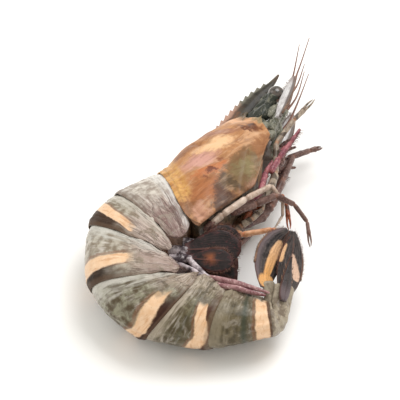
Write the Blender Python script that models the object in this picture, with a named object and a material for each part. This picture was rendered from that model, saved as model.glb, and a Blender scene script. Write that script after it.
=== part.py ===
"""A raw tiger prawn lying curled on its left side: shell rings, head shell, limbs and tail fan.

The prawn rests on z = 0 with its right side up.  The head points to +X +Y, the tail curls
anticlockwise round the swimmerets.  Sizes are in millimetres and are turned into metres once.
"""
import math
from collections import namedtuple

import bmesh
import bpy
from mathutils import Matrix, Vector

MM = 0.001
GAP = 0.3                       # clearance left between neighbouring shell pieces

# Where the plan origin of the curl lies once the bounding box is centred.
CENTRE_SHIFT = (-7.63, -23.72, 0.0)

# Joint: hinge point in plan, bearing of the back, roll of the back towards the sky, height of the
# mid plane, then reaches from the hinge to the back, the side, the flank tips and the belly.
Joint = namedtuple("Joint", "x y bearing roll height back side flank belly")
TAIL_JOINTS = (
    Joint(-0.1, 11.1, 108.0, 0.0, 13.2, 21.6, 12.8, 11.5, 5.0),
    Joint(-6.6, 5.6, 118.0, 0.0, 12.9, 21.6, 12.8, 12.0, 5.2),
    Joint(-11.8, -0.8, 146.0, 0.0, 12.6, 20.6, 12.6, 11.8, 5.2),
    Joint(-10.2, -12.8, 185.0, 0.0, 12.2, 18.6, 12.2, 10.6, 5.0),
    Joint(-3.0, -21.9, 230.0, 8.0, 11.2, 15.8, 11.0, 8.4, 4.4),
    Joint(10.0, -28.0, 257.0, 18.0, 10.4, 13.4, 9.4, 6.8, 4.2),
    Joint(27.7, -25.9, 272.0, 32.0, 9.5, 10.2, 5.9, 5.0, 3.9),
)
SOMITE_RINGS = 7
SECTION_STEPS = 2               # points for each corner of a shell outline
FLAP_CORNERS = (4 * SECTION_STEPS, 9 * SECTION_STEPS)   # where a flank flap starts and ends
NECK = 0.93                     # size of a ring's front edge, tucked behind the ring ahead of it
NECK_END = 0.34                 # where along the ring the neck has swollen to full size
LOBE_TRIM = 0.25                # how much shorter a flank lobe is at its front and rear corners

# Head axis: plan heading of the head, with its own x forward, y towards the back, z to the right.
HEADING = 47.0
HEAD_HEIGHT = 13.2
CARAPACE_RINGS = 11
CARAPACE_SIDE = (12.6, 13.8, 13.2, 11.2, 8.2)
CARAPACE_BACK = (19.6, 20.8, 20.6, 19.8, 18.8)
CARAPACE_FLANK = (10.6, 11.2, 11.2, 10.4, 9.0)
CARAPACE_BELLY = 3.0
REAR_LEAN = 0.555               # forward lean of the rear edge for each millimetre of height
FRONT_KNEE = (43.0, 2.0)        # foremost corner of the front edge, forward and up
FRONT_RISE = 0.45
FRONT_SWEEP = 1.75

# Face: depth ahead of the front edge, half width, lowest and highest point of each ring.
FACE_SECTIONS = (
    (0.7, 6.8, -6.8, 14.2),
    (1.8, 6.0, -6.2, 13.4),
    (2.9, 4.0, -4.4, 11.4),
)

# Rostrum: the toothed blade that runs forward from the middle of the back.
ROSTRUM_START = 31.0
ROSTRUM_TIP = (71.0, 24.4)
ROSTRUM_HALF_THICK = 0.9
TOOTH_PITCH = 4.3
TOOTH_COUNT = 7
TOOTH_HEIGHT = 1.3
UNDER_TOOTH_COUNT = 3

# Tail fan axes: rearward, right and back directions of the fan, and where it starts.
FAN_START = (30.4, -26.0, 9.6)
FAN_REARWARD = (0.15, 0.90, 0.40)
FAN_RIGHT = (-0.82, -0.2, 0.57)

# Tail blades: name, root, tip, half width, half thickness, width of the root and sideways curve.
FAN_BLADES = (
    ("telson", (0.0, 0.0, 2.2), (23.0, 0.4, 1.8), 3.1, 0.9, 0.5, 0.0),
    ("inner_tail_blade_right", (5.6, 1.9, 0.4), (30.0, 2.4, 0.4), 4.3, 0.4, 0.3, 1.0),
    ("inner_tail_blade_left", (1.0, -2.6, -0.7), (30.4, -0.8, -0.7), 4.3, 0.4, 0.4, -0.8),
    ("outer_tail_blade_right", (6.8, 2.6, -1.8), (28.6, 5.0, -1.8), 5.1, 0.4, 0.3, 2.2),
    ("outer_tail_blade_left", (-1.4, -2.4, -2.9), (28.0, -3.4, -2.9), 4.9, 0.4, 0.5, -1.8),
)

COLOURS = {
    "grey_shell": ((0.30, 0.27, 0.20), 0.28),
    "amber_shell": ((0.62, 0.38, 0.19), 0.28),
    "under_flesh": ((0.55, 0.46, 0.36), 0.40),
    "eye": ((0.03, 0.028, 0.026), 0.12),
    "pale_blade": ((0.48, 0.42, 0.34), 0.30),
    "maroon_limb": ((0.22, 0.09, 0.09), 0.32),
    "banded_limb": ((0.42, 0.33, 0.24), 0.32),
    "dark_paddle": ((0.06, 0.045, 0.05), 0.28),
    "dark_fan": ((0.09, 0.075, 0.08), 0.28),
}


def clear_scene():
    """Take every object out of the starting scene."""
    for item in list(bpy.data.objects):
        bpy.data.objects.remove(item, do_unlink=True)


def make_material(name):
    """Plain wet-looking material of one colour."""
    colour, roughness = COLOURS[name]
    material = bpy.data.materials.new(name)
    material.use_nodes = True
    shader = material.node_tree.nodes["Principled BSDF"]
    shader.inputs["Base Color"].default_value = (*colour, 1.0)
    shader.inputs["Roughness"].default_value = roughness
    shader.inputs["Metallic"].default_value = 0.0
    material.diffuse_color = (*colour, 1.0)
    return material


def add_object(name, mesh, collection, parent, material=None):
    """Link a mesh as one smooth-shaded object under its axis empty."""
    item = bpy.data.objects.new(name, mesh)
    collection.objects.link(item)
    item.parent = parent
    if material is not None:
        mesh.materials.append(material)
    for face in mesh.polygons:
        face.use_smooth = True
    return item


def close_end(work, row, flaps, hub_point):
    """Close one end of a loft: a fan round the hub, with any flank flaps closed on their own."""
    core = list(row)
    if flaps:
        outer, inner = flaps
        last = len(row)
        core = row[:outer + 1] + row[inner:last - inner + 1] + row[last - outer:]
        work.faces.new(row[outer:inner + 1])
        work.faces.new(row[last - inner:last - outer + 1])
    middle = sum((v.co for v in core), Vector()) / len(core)
    hub = work.verts.new(middle if hub_point is None else hub_point * MM)
    for i, vert in enumerate(core):
        work.faces.new((vert, core[(i + 1) % len(core)], hub))


def loft(name, rings, flaps=None, first_hub=None, last_hub=None):
    """Closed mesh through rings of equal count."""
    work = bmesh.new()
    rows = [[work.verts.new(point * MM) for point in ring] for ring in rings]
    count = len(rows[0])
    for fore, aft in zip(rows[:-1], rows[1:]):
        for i in range(count):
            j = (i + 1) % count
            work.faces.new((fore[i], fore[j], aft[j], aft[i]))
    close_end(work, rows[0], flaps, first_hub)
    close_end(work, rows[-1], flaps, last_hub)
    bmesh.ops.triangulate(work, faces=[face for face in work.faces if len(face.verts) > 4])
    bmesh.ops.recalc_face_normals(work, faces=work.faces)
    mesh = bpy.data.meshes.new(name)
    work.to_mesh(mesh)
    work.free()
    return mesh


def blend(values, t):
    """Smooth value at t from 0 to 1 along a short row of evenly spaced sizes."""
    spans = len(values) - 1
    place = min(max(t, 0.0), 1.0) * spans
    i = min(int(place), spans - 1)
    f = place - i
    f = f * f * (3.0 - 2.0 * f)
    return values[i] * (1.0 - f) + values[i + 1] * f


def rounded(points, steps):
    """Closed smooth outline through the given corners, with the same steps between each pair."""
    out = []
    count = len(points)
    for i in range(count):
        p0, p1, p2, p3 = (Vector(points[(i + k - 1) % count]) for k in range(4))
        for s in range(steps):
            t = s / steps
            out.append(0.5 * (2 * p1 + (p2 - p0) * t + (2 * p0 - 5 * p1 + 4 * p2 - p3) * t * t
                              + (3 * p1 - p0 - 3 * p2 + p3) * t * t * t))
    return out


def shell_section(back, side, flank, belly):
    """Outline of a shell ring in (height, sideways): back arch, flank lobes and hollow belly."""
    hang = flank - belly
    half = (
        (back, 0.0),
        (0.86 * back, 0.54 * side),
        (0.46 * back, 0.90 * side),
        (0.0, side),
        (-0.50 * flank, 0.96 * side),
        (-0.90 * flank, 0.85 * side),
        (-flank, 0.77 * side),
        (-belly - 0.72 * hang, 0.70 * side),
        (-belly - 0.30 * hang, 0.66 * side),
        (-belly, 0.48 * side),
        (-belly, 0.0),
    )
    mirrored = [(y, -z) for y, z in half[-2:0:-1]]
    return rounded(list(half) + mirrored, SECTION_STEPS)


def joint_between(fore, aft, t):
    """Joint sizes part way from one joint to the next."""
    return Joint(*(a + (b - a) * t for a, b in zip(fore, aft)))


def joint_axes(joint):
    """Directions of the back, the right side and the rear at a joint."""
    bearing = math.radians(joint.bearing)
    roll = math.radians(joint.roll)
    flat = Vector((math.cos(bearing), math.sin(bearing), 0.0))
    sky = Vector((0.0, 0.0, 1.0))
    back = flat * math.cos(roll) + sky * math.sin(roll)
    right = sky * math.cos(roll) - flat * math.sin(roll)
    return back, right, right.cross(back)


def somite_ring(fore, aft, t):
    """One ring of points of a tail segment, pressed flat where it meets the table."""
    joint = joint_between(fore, aft, t)
    back, right, rearward = joint_axes(joint)
    swell = NECK + (1.0 - NECK) * blend((0.0, 1.0), t / NECK_END)
    lobe = 1.0 - LOBE_TRIM * abs(2.0 * t - 1.0) ** 2.5
    outline = shell_section(joint.back * swell, joint.side * swell, joint.flank * lobe, joint.belly)
    centre = Vector((joint.x, joint.y, joint.height)) + rearward * GAP * (0.5 - t)
    points = []
    for y, z in outline:
        point = centre + back * y + right * z
        point.z = max(point.z, 0.0)
        points.append(point)
    return points


def head_rear_edge(height):
    """Forward position of the head shell's rear edge at a height above the head axis."""
    corner = max(-height / CARAPACE_FLANK[0], 0.0)
    return REAR_LEAN * height + 3.5 * corner ** 4 + 0.5 * GAP


def head_front_edge(height):
    """Forward position of the head shell's front edge at a height above the head axis."""
    knee_x, knee_y = FRONT_KNEE
    slope = FRONT_RISE if height > knee_y else FRONT_SWEEP
    return knee_x + slope * (height - knee_y)


def head_x(t, height):
    """Forward position a fraction t of the way along the head shell."""
    return head_rear_edge(height) * (1.0 - t) + head_front_edge(height) * t


def carapace_rings():
    """Rings of the head shell from the rear edge to the front edge."""
    rings = []
    for step in range(CARAPACE_RINGS):
        t = step / (CARAPACE_RINGS - 1)
        outline = shell_section(blend(CARAPACE_BACK, t), blend(CARAPACE_SIDE, t),
                                blend(CARAPACE_FLANK, t), CARAPACE_BELLY)
        rings.append([Vector((head_x(t, y), y, max(z, -HEAD_HEIGHT))) for y, z in outline])
    return rings


def under_body_rings():
    """Rings of the flesh and leg sockets that fill the hollow between the head shell's flanks."""
    rings = []
    for step in range(6):
        t = 0.06 + 0.86 * step / 5
        side = blend(CARAPACE_SIDE, t)
        top = -CARAPACE_BELLY - 0.5
        low = -blend(CARAPACE_FLANK, t) + 0.9
        middle = 0.5 * (top + low)
        half = ((top, 0.0), (top, 0.36 * side), (middle, 0.56 * side), (low, 0.44 * side), (low, 0.0))
        outline = list(half) + [(y, -z) for y, z in half[-2:0:-1]]
        rings.append([Vector((head_x(t, y), y, z)) for y, z in outline])
    return rings


def face_rings():
    """Rings of the blunt face that stands in the open front of the head shell."""
    rings = []
    waist = FRONT_KNEE[1]
    for depth, side, low, high in FACE_SECTIONS:
        half = ((high, 0.0), (high - 0.8, 0.6 * side), (waist, side), (low + 0.8, 0.6 * side), (low, 0.0))
        outline = rounded(list(half) + [(y, -z) for y, z in half[-2:0:-1]], 2)
        rings.append([Vector((head_front_edge(y) + GAP + depth, y, z)) for y, z in outline])
    return rings


def rostrum_top(x):
    """Height of the plain upper edge of the rostrum."""
    reach = (x - ROSTRUM_START) / (ROSTRUM_TIP[0] - ROSTRUM_START)
    return 19.4 + (ROSTRUM_TIP[1] - 19.4) * reach + 1.5 * math.sin(math.pi * reach)


def rostrum_bottom(x):
    """Height of the plain lower edge of the rostrum."""
    reach = (x - ROSTRUM_START) / (ROSTRUM_TIP[0] - ROSTRUM_START)
    return 16.2 + (ROSTRUM_TIP[1] - 0.2 - 16.2) * reach ** 0.8


def rostrum_rings():
    """Rings of the rostrum: saw teeth above and below on a thin blade."""
    stations = [(ROSTRUM_START, 0.0, 0.0)]
    first = ROSTRUM_START + 3.0
    for i in range(TOOTH_COUNT):
        root = first + i * TOOTH_PITCH
        low = TOOTH_HEIGHT * 0.7 if i >= TOOTH_COUNT - UNDER_TOOTH_COUNT else 0.0
        stations.append((root, 0.0, 0.0))
        stations.append((root + 2.4, TOOTH_HEIGHT, low))
        stations.append((root + 2.8, 0.0, 0.0))
    stations.append((ROSTRUM_TIP[0], 0.0, 0.0))
    rings = []
    for x, above, below in stations:
        reach = (x - ROSTRUM_START) / (ROSTRUM_TIP[0] - ROSTRUM_START)
        top = rostrum_top(x) + above
        bottom = rostrum_bottom(x) - below
        waist = 0.5 * (rostrum_top(x) + rostrum_bottom(x))
        thick = ROSTRUM_HALF_THICK * (1.0 - 0.6 * reach)
        thin = 0.35 * thick
        half = ((top, thin), (waist, thick), (bottom, thin))
        outline = list(half) + [(y, -z) for y, z in half[::-1]]
        rings.append([Vector((x, y, z)) for y, z in outline])
    return rings


def flat_rings(path, widths, thicks, width_way):
    """Oval rings of a leaf-like limb; width_way is the direction of its width."""
    rings = []
    last = len(path) - 1
    for i, centre in enumerate(path):
        along = (path[min(i + 1, last)] - path[max(i - 1, 0)]).normalized()
        wide = (width_way - along * width_way.dot(along)).normalized()
        normal = along.cross(wide)
        ring = []
        for k in range(10):
            angle = 2.0 * math.pi * k / 10
            ring.append(centre + wide * widths[i] * math.cos(angle) + normal * thicks[i] * math.sin(angle))
        rings.append(ring)
    return rings


def leaf(name, start, end, half_width, half_thick, width_way, root, curve=0.0):
    """Leaf-shaped plate with a narrow root, a rounded tip and a sideways curve."""
    path = []
    widths = []
    thicks = []
    for step in range(8):
        t = step / 7
        path.append(start.lerp(end, t) + width_way * curve * 4.0 * t * (1.0 - t))
        swell = math.sin(math.pi * (0.10 + 0.86 * t)) ** 0.7
        early = max(1.0 - 2.5 * t, 0.0)
        widths.append(half_width * max(swell, root * early))
        thicks.append(half_thick * (1.0 - 0.45 * t))
    return loft(name, flat_rings(path, widths, thicks, width_way))


def swimmeret_rings(start, end, half_width, sag, width_way):
    """Round stub that spreads into a flat paddle with a rounded tip."""
    path = []
    widths = []
    thicks = []
    for step in range(9):
        t = step / 8
        dip = Vector((0.0, -sag * 4.0 * t * (1.0 - t), 0.0))
        path.append(start.lerp(end, t) + dip)
        spread = blend((0.0, 0.0, 0.55, 1.0, 1.0), t)
        tip = math.sqrt(max(1.0 - max((t - 0.62) / 0.40, 0.0) ** 2, 0.0))
        widths.append((1.5 * (1.0 - spread) + half_width * spread) * max(tip, 0.12))
        thicks.append(blend((1.4, 1.3, 0.6, 0.5, 0.35), t))
    return flat_rings(path, widths, thicks, width_way)


def tube_mesh(name, points, radii):
    """Jointed round limb: a bevelled line with its own radius at each point, caps welded on."""
    line = bpy.data.curves.new(name, "CURVE")
    line.dimensions = "3D"
    line.bevel_depth = MM
    line.bevel_resolution = 1
    line.use_fill_caps = True
    spline = line.splines.new("POLY")
    spline.points.add(len(points) - 1)
    for knot, point, radius in zip(spline.points, points, radii):
        knot.co = (*(Vector(point) * MM), 1.0)
        knot.radius = radius
    holder = bpy.data.objects.new(name, line)
    mesh = bpy.data.meshes.new_from_object(holder)
    mesh.name = name
    bpy.data.objects.remove(holder, do_unlink=True)
    work = bmesh.new()
    work.from_mesh(mesh)
    bmesh.ops.remove_doubles(work, verts=work.verts, dist=0.01 * MM)
    bmesh.ops.recalc_face_normals(work, faces=work.faces)
    work.to_mesh(mesh)
    work.free()
    return mesh


def eye_mesh(name, side):
    """Round eye on a short stalk."""
    foot = Vector((52.6, 13.6, 3.6 * side))
    ball = Vector((58.4, 15.4, 6.2 * side))
    axis = (ball - foot).normalized()
    across = axis.orthogonal().normalized()
    other = axis.cross(across)
    reach = (ball - foot).length
    radius = 2.7
    profile = [(0.0, 1.1), (0.35 * reach, 1.0), (0.55 * reach, 1.3)]
    for step in range(1, 8):
        angle = math.pi * (0.15 + 0.82 * step / 7)
        profile.append((reach - radius * math.cos(angle), radius * math.sin(angle)))
    rings = []
    for along, wide in profile:
        ring = [foot + axis * along + (across * math.cos(a) + other * math.sin(a)) * wide
                for a in (2.0 * math.pi * k / 12 for k in range(12))]
        rings.append(ring)
    return loft(name, rings)


# Walking legs in the head's own axes, for the right side (z up) and the left side (z down).
RIGHT_LEGS = (
    ((24.0, -11.3, 4.6), (28.0, -12.0, 3.6), (34.0, -8.8, 2.0), (45.0, -2.2, 1.7), (56.0, 2.0, 2.2),
     (67.0, 5.0, 4.0)),
    ((19.0, -11.6, 4.8), (24.0, -13.7, 7.0), (34.0, -11.9, 8.0), (43.0, -10.0, 8.6),
     (52.5, -11.6, 8.8)),
    ((14.0, -11.8, 4.8), (17.5, -15.6, 7.2), (29.5, -16.6, 9.4), (32.0, -19.4, 8.0),
     (26.0, -31.0, 1.0), (20.8, -35.5, -4.0)),
    ((9.0, -11.8, 4.8), (12.0, -15.8, 4.6), (23.6, -19.0, 5.0), (23.8, -22.6, 4.6), (14.5, -27.0, 2.0)),
    ((4.2, -11.6, 4.8), (5.4, -14.2, 3.4), (8.6, -17.7, 1.8), (17.6, -22.4, 0.8), (20.6, -25.4, -0.6)),
)
LEFT_LEGS = (
    ((24.0, -11.3, -4.6), (28.0, -12.4, -3.6), (35.0, -9.4, -2.2), (46.0, -4.6, -2.2),
     (57.0, -1.6, -3.6), (61.0, -1.0, -4.4)),
    ((19.0, -11.6, -4.8), (24.0, -14.8, -5.8), (35.0, -15.6, -7.2), (46.0, -14.0, -8.2),
     (50.0, -15.0, -8.6)),
    ((14.0, -11.8, -4.8), (18.5, -15.6, -6.2), (30.0, -20.0, -8.2), (40.0, -20.4, -9.4),
     (45.0, -19.0, -10.0)),
    ((9.0, -11.8, -4.8), (12.5, -16.0, -6.8), (24.0, -23.0, -8.8), (30.0, -27.0, -9.8),
     (31.0, -31.0, -10.2)),
    ((4.2, -11.6, -4.8), (6.5, -15.4, -7.0), (14.0, -22.0, -9.4), (19.0, -27.0, -10.4),
     (20.0, -30.0, -10.8)),
)
LEG_RADII = (1.35, 1.25, 1.1, 0.85, 0.7, 0.55)

# Swimmerets: root and tip for each pair, front to rear, paddle half width and sag of the stem.
RIGHT_SWIMMERETS = (
    ((0.2, 0.4, 16.6), (18.8, 1.0, 17.2), 5.0, 0.8),
    ((-4.4, -3.2, 16.6), (18.2, -4.6, 17.0), 5.2, 0.0),
    ((-4.0, -8.6, 16.6), (17.4, -11.0, 17.0), 4.6, -0.6),
    ((-0.6, -14.2, 15.0), (17.0, -15.5, 16.6), 2.8, -1.8),
    ((6.2, -19.0, 12.6), (20.6, -18.8, 17.6), 1.2, 0.0),
)
LEFT_SWIMMERETS = (
    ((0.2, 0.4, 7.6), (17.6, 0.2, 7.4), 4.8, 0.8),
    ((-4.4, -3.2, 7.6), (17.4, -5.2, 7.2), 5.0, 0.0),
    ((-4.0, -8.6, 7.6), (17.0, -10.4, 7.0), 4.4, -0.6),
    ((-0.6, -14.2, 7.2), (17.6, -15.0, 6.4), 3.2, -1.4),
    ((6.2, -19.0, 6.4), (21.0, -18.8, 5.6), 1.4, -1.6),
)
PADDLE_TILT = 38.0


def build():
    """Make every piece of the prawn and hang it on its axis empty."""
    clear_scene()
    scene = bpy.context.scene
    pieces = bpy.data.collections.new("tiger_prawn")
    tools = bpy.data.collections.new("joining_tools")
    scene.collection.children.link(pieces)
    scene.collection.children.link(tools)
    paints = {name: make_material(name) for name in COLOURS}

    pose = bpy.data.objects.new("prawn_pose", None)
    head = bpy.data.objects.new("head_axis", None)
    fan = bpy.data.objects.new("fan_axis", None)
    for axis in (pose, head, fan):
        pieces.objects.link(axis)
    pose.location = Vector(CENTRE_SHIFT) * MM
    first = TAIL_JOINTS[0]
    head.parent = pose
    head.location = Vector((first.x, first.y, HEAD_HEIGHT)) * MM
    head.rotation_euler = (0.0, 0.0, math.radians(HEADING))
    rearward = Vector(FAN_REARWARD).normalized()
    right = Vector(FAN_RIGHT)
    right = (right - rearward * right.dot(rearward)).normalized()
    top = rearward.cross(right)
    fan.parent = pose
    turn = Matrix((rearward, right, top)).transposed().to_4x4()
    fan.matrix_local = Matrix.Translation(Vector(FAN_START) * MM) @ turn

    build_tail_rings(pieces, pose, paints)
    build_head(pieces, tools, head, paints)
    build_legs(pieces, head, paints)
    build_swimmerets(pieces, pose, paints)
    build_fan(pieces, fan, paints)


def build_tail_rings(pieces, pose, paints):
    """Six shell segments between the seven joints."""
    for i, (fore, aft) in enumerate(zip(TAIL_JOINTS[:-1], TAIL_JOINTS[1:]), start=1):
        name = f"tail_segment_{i}"
        rings = [somite_ring(fore, aft, step / (SOMITE_RINGS - 1)) for step in range(SOMITE_RINGS)]
        add_object(name, loft(name, rings, FLAP_CORNERS), pieces, pose, paints["grey_shell"])


def build_head(pieces, tools, head, paints):
    """Head shell with its rostrum, under body, eyes, feelers and pale blades."""
    knee = Vector((*FRONT_KNEE, 0.0))
    mesh = loft("carapace", carapace_rings(), FLAP_CORNERS, last_hub=knee)
    shell = add_object("carapace", mesh, pieces, head, paints["amber_shell"])
    blade = add_object("rostrum_blade", loft("rostrum_blade", rostrum_rings()), tools, head,
                       paints["amber_shell"])
    blade.hide_render = True
    blade.display_type = "WIRE"
    union = shell.modifiers.new("rostrum", "BOOLEAN")
    union.operation = "UNION"
    union.solver = "EXACT"
    union.object = blade
    add_object("under_body", loft("under_body", under_body_rings()), pieces, head,
               paints["under_flesh"])
    back_of_face, front_of_face = (
        knee + Vector((GAP + FACE_SECTIONS[i][0], 0.0, 0.0)) for i in (0, -1)
    )
    mesh = loft("face", face_rings(), first_hub=back_of_face, last_hub=front_of_face)
    add_object("face", mesh, pieces, head, paints["under_flesh"])
    for side, word in ((1.0, "right"), (-1.0, "left")):
        name = f"eye_{word}"
        add_object(name, eye_mesh(name, side), pieces, head, paints["eye"])
        name = f"antennal_blade_{word}"
        mesh = leaf(name, Vector((49.0, 5.4, 7.6 * side)), Vector((66.5, 12.4, 8.6 * side)), 3.3, 0.45,
                    Vector((0.0, -0.6, 0.8 * side)), 0.5)
        add_object(name, mesh, pieces, head, paints["pale_blade"])
        name = f"antennule_{word}"
        points = ((51.0, 9.3, 2.2), (56.0, 10.3, 2.4), (62.0, 12.4, 2.6), (70.0, 17.0, 3.4),
                  (82.0, 25.0, 5.0))
        mesh = tube_mesh(name, [(x, y, z * side) for x, y, z in points], (1.3, 1.2, 1.0, 0.4, 0.25))
        add_object(name, mesh, pieces, head, paints["banded_limb"])
        name = f"antenna_{word}"
        points = ((47.0, 1.0, 5.8), (51.0, 1.8, 5.8), (57.0, 3.4, 5.4), (64.0, 6.6, 6.4), (74.0, 14.0, 7.2),
                  (84.0, 22.0, 8.0))
        mesh = tube_mesh(name, [(x, y, z * side) for x, y, z in points],
                         (1.7, 1.7, 1.3, 0.5, 0.35, 0.25))
        add_object(name, mesh, pieces, head, paints["banded_limb"])
        name = f"maxilliped_{word}"
        points = ((33.0, -7.6, 4.6), (38.6, -5.8, 5.4), (46.0, -4.2, 6.2), (52.0, -2.6, 6.8))
        mesh = tube_mesh(name, [(x, y, z * side) for x, y, z in points], (1.4, 1.3, 1.0, 0.6))
        add_object(name, mesh, pieces, head, paints["maroon_limb"])


def build_legs(pieces, head, paints):
    """Five pairs of walking legs."""
    for word, legs in (("right", RIGHT_LEGS), ("left", LEFT_LEGS)):
        for i, points in enumerate(legs, start=1):
            name = f"leg_{i}_{word}"
            radii = LEG_RADII[:len(points) - 1] + (0.5,)
            paint = paints["banded_limb"] if i in (1, 4) else paints["maroon_limb"]
            add_object(name, tube_mesh(name, points, radii), pieces, head, paint)


def build_swimmerets(pieces, pose, paints):
    """Five pairs of paddles folded into the curl."""
    tilt = math.radians(PADDLE_TILT)
    width_way = Vector((0.0, math.cos(tilt), math.sin(tilt)))
    for word, rows in (("right", RIGHT_SWIMMERETS), ("left", LEFT_SWIMMERETS)):
        for i, (start, end, half_width, sag) in enumerate(rows, start=1):
            name = f"swimmeret_{i}_{word}"
            rings = swimmeret_rings(Vector(start), Vector(end), half_width, sag, width_way)
            add_object(name, loft(name, rings), pieces, pose, paints["dark_paddle"])


def build_fan(pieces, fan, paints):
    """Telson over two inner and two outer tail blades, in the fan's own axes."""
    wide = Vector((0.0, 1.0, 0.0))
    for name, start, end, half_width, half_thick, root, curve in FAN_BLADES:
        mesh = leaf(name, Vector(start), Vector(end), half_width, half_thick, wide, root, curve)
        add_object(name, mesh, pieces, fan, paints["dark_fan"])


build()
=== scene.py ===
import math
from collections import namedtuple

import bmesh
import bpy
import numpy as np
from mathutils import Matrix, Vector, noise


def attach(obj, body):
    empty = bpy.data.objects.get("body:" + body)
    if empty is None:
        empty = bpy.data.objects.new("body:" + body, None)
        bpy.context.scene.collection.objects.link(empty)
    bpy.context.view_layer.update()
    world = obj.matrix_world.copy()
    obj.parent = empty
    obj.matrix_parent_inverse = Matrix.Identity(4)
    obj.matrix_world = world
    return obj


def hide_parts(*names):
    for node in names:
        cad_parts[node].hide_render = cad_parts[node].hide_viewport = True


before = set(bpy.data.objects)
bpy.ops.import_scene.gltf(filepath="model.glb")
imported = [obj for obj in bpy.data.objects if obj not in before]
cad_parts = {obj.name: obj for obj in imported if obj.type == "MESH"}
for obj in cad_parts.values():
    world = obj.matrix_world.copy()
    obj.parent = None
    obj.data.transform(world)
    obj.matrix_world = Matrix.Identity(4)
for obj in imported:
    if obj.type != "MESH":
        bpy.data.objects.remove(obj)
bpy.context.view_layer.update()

# A raw tiger prawn curled on its left side.  Every shape is worked out in plan millimetres, the
# frame in which the curl was laid out, and is moved to the row frame when its mesh is made.
MM = 0.001
PLAN_SHIFT = np.array((-7.63, -23.72, 0))
DICE = np.random.default_rng(11)


# ---- numbers

def ramp(value, low, high):
    """0 below low, 1 above high, smooth between."""
    u = np.clip((np.asarray(value, float) - low) / (high - low), 0, 1)
    return u * u * (3 - 2 * u)


def between(value, low, rise, fall, high):
    """1 from rise to fall and 0 beyond low and high, smooth between."""
    return ramp(value, low, rise) * ramp(value, high, fall)


def hump(value, centre, width):
    """Soft bump of height 1 round a centre."""
    return np.exp(-((np.asarray(value, float) - centre) / width) ** 2)


def blend(sizes, t):
    """Smooth value at t from 0 to 1 along a short row of evenly spaced sizes."""
    sizes = np.asarray(sizes, float)
    place = np.clip(np.asarray(t, float), 0, 1) * (len(sizes) - 1)
    i = np.minimum(place.astype(int), len(sizes) - 2)
    f = ramp(place - i, 0, 1)
    return sizes[i] * (1 - f) + sizes[i + 1] * f


def unit(vectors):
    """The same directions at length 1."""
    vectors = np.asarray(vectors, float)
    return vectors / np.maximum(np.linalg.norm(vectors, axis=-1, keepdims=True), 1e-9)


def lumps(points, size, detail, seed=0):
    """Soft random relief from about -1 to 1 over points, with lumps of the given size."""
    flat = np.asarray(points, float).reshape(-1, 3) / size + seed
    out = np.array([noise.fractal(Vector(p), 0.9, 2, detail) for p in flat])
    return out.reshape(np.asarray(points).shape[:-1])


def curve_through(corners, steps, closed=False):
    """Smooth line through corners, with the same steps between each pair."""
    p = np.asarray(corners, float)
    if closed:
        q = np.vstack((p[-1:], p, p[:2]))
    else:
        q = np.vstack((2 * p[0] - p[1], p, 2 * p[-1] - p[-2]))
    out = []
    for i in range(len(q) - 3):
        p0, p1, p2, p3 = q[i:i + 4]
        t = (np.arange(steps) / steps)[:, None]
        out.append(0.5 * (2 * p1 + (p2 - p0) * t + (2 * p0 - 5 * p1 + 4 * p2 - p3) * t ** 2
                          + (3 * p1 - p0 - 3 * p2 + p3) * t ** 3))
    out = np.vstack(out)
    return out if closed else np.vstack((out, p[-1]))


def shares(count):
    """Even steps from 0 to 1."""
    return np.linspace(0, 1, count)


def full_turn(count):
    """Even angles round a circle."""
    return 2 * math.pi * np.arange(count) / count


def sample(line, at, marks=None):
    """Places on a line at some marks; by default its marks run evenly from 0 to 1."""
    line = np.asarray(line, float)
    if marks is None:
        marks = shares(len(line))
    return np.stack([np.interp(at, marks, column) for column in line.T], axis=1)


def evenly(line, count, ease=1):
    """A line walked at even steps of its length; ease above 1 crowds the steps at its end."""
    reach = np.concatenate(([0], np.cumsum(np.linalg.norm(np.diff(line, axis=0), axis=1))))
    share = 1 - (1 - shares(count)) ** ease
    return sample(line, share * reach[-1], reach)


def line_distance(points, line):
    """Distance from each flat point to a bent line."""
    points = np.asarray(points, float)
    best = np.full(points.shape[:-1], 1e9)
    for a, b in zip(np.asarray(line[:-1], float), np.asarray(line[1:], float)):
        d = b - a
        f = np.clip(((points - a) @ d) / (d @ d), 0, 1)
        best = np.minimum(best, np.linalg.norm(points - a - f[..., None] * d, axis=-1))
    return best


# ---- pieces

def grid_faces(rows, around):
    """Quads between neighbouring rings."""
    i = np.arange(rows - 1)[:, None] * around
    j = np.arange(around)[None, :]
    k = (j + 1) % around
    quads = np.stack((i + j, i + k, i + around + k, i + around + j), axis=-1)
    return quads.reshape(-1, 4).tolist()


def plain_cap(base, around, hub):
    """Faces that close a ring to a hub."""
    return [[base + i, base + (i + 1) % around, hub] for i in range(around)]


def show(name, data):
    """Put a new object with its data into the scene."""
    item = bpy.data.objects.new(name, data)
    bpy.context.scene.collection.objects.link(item)
    return item


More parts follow.
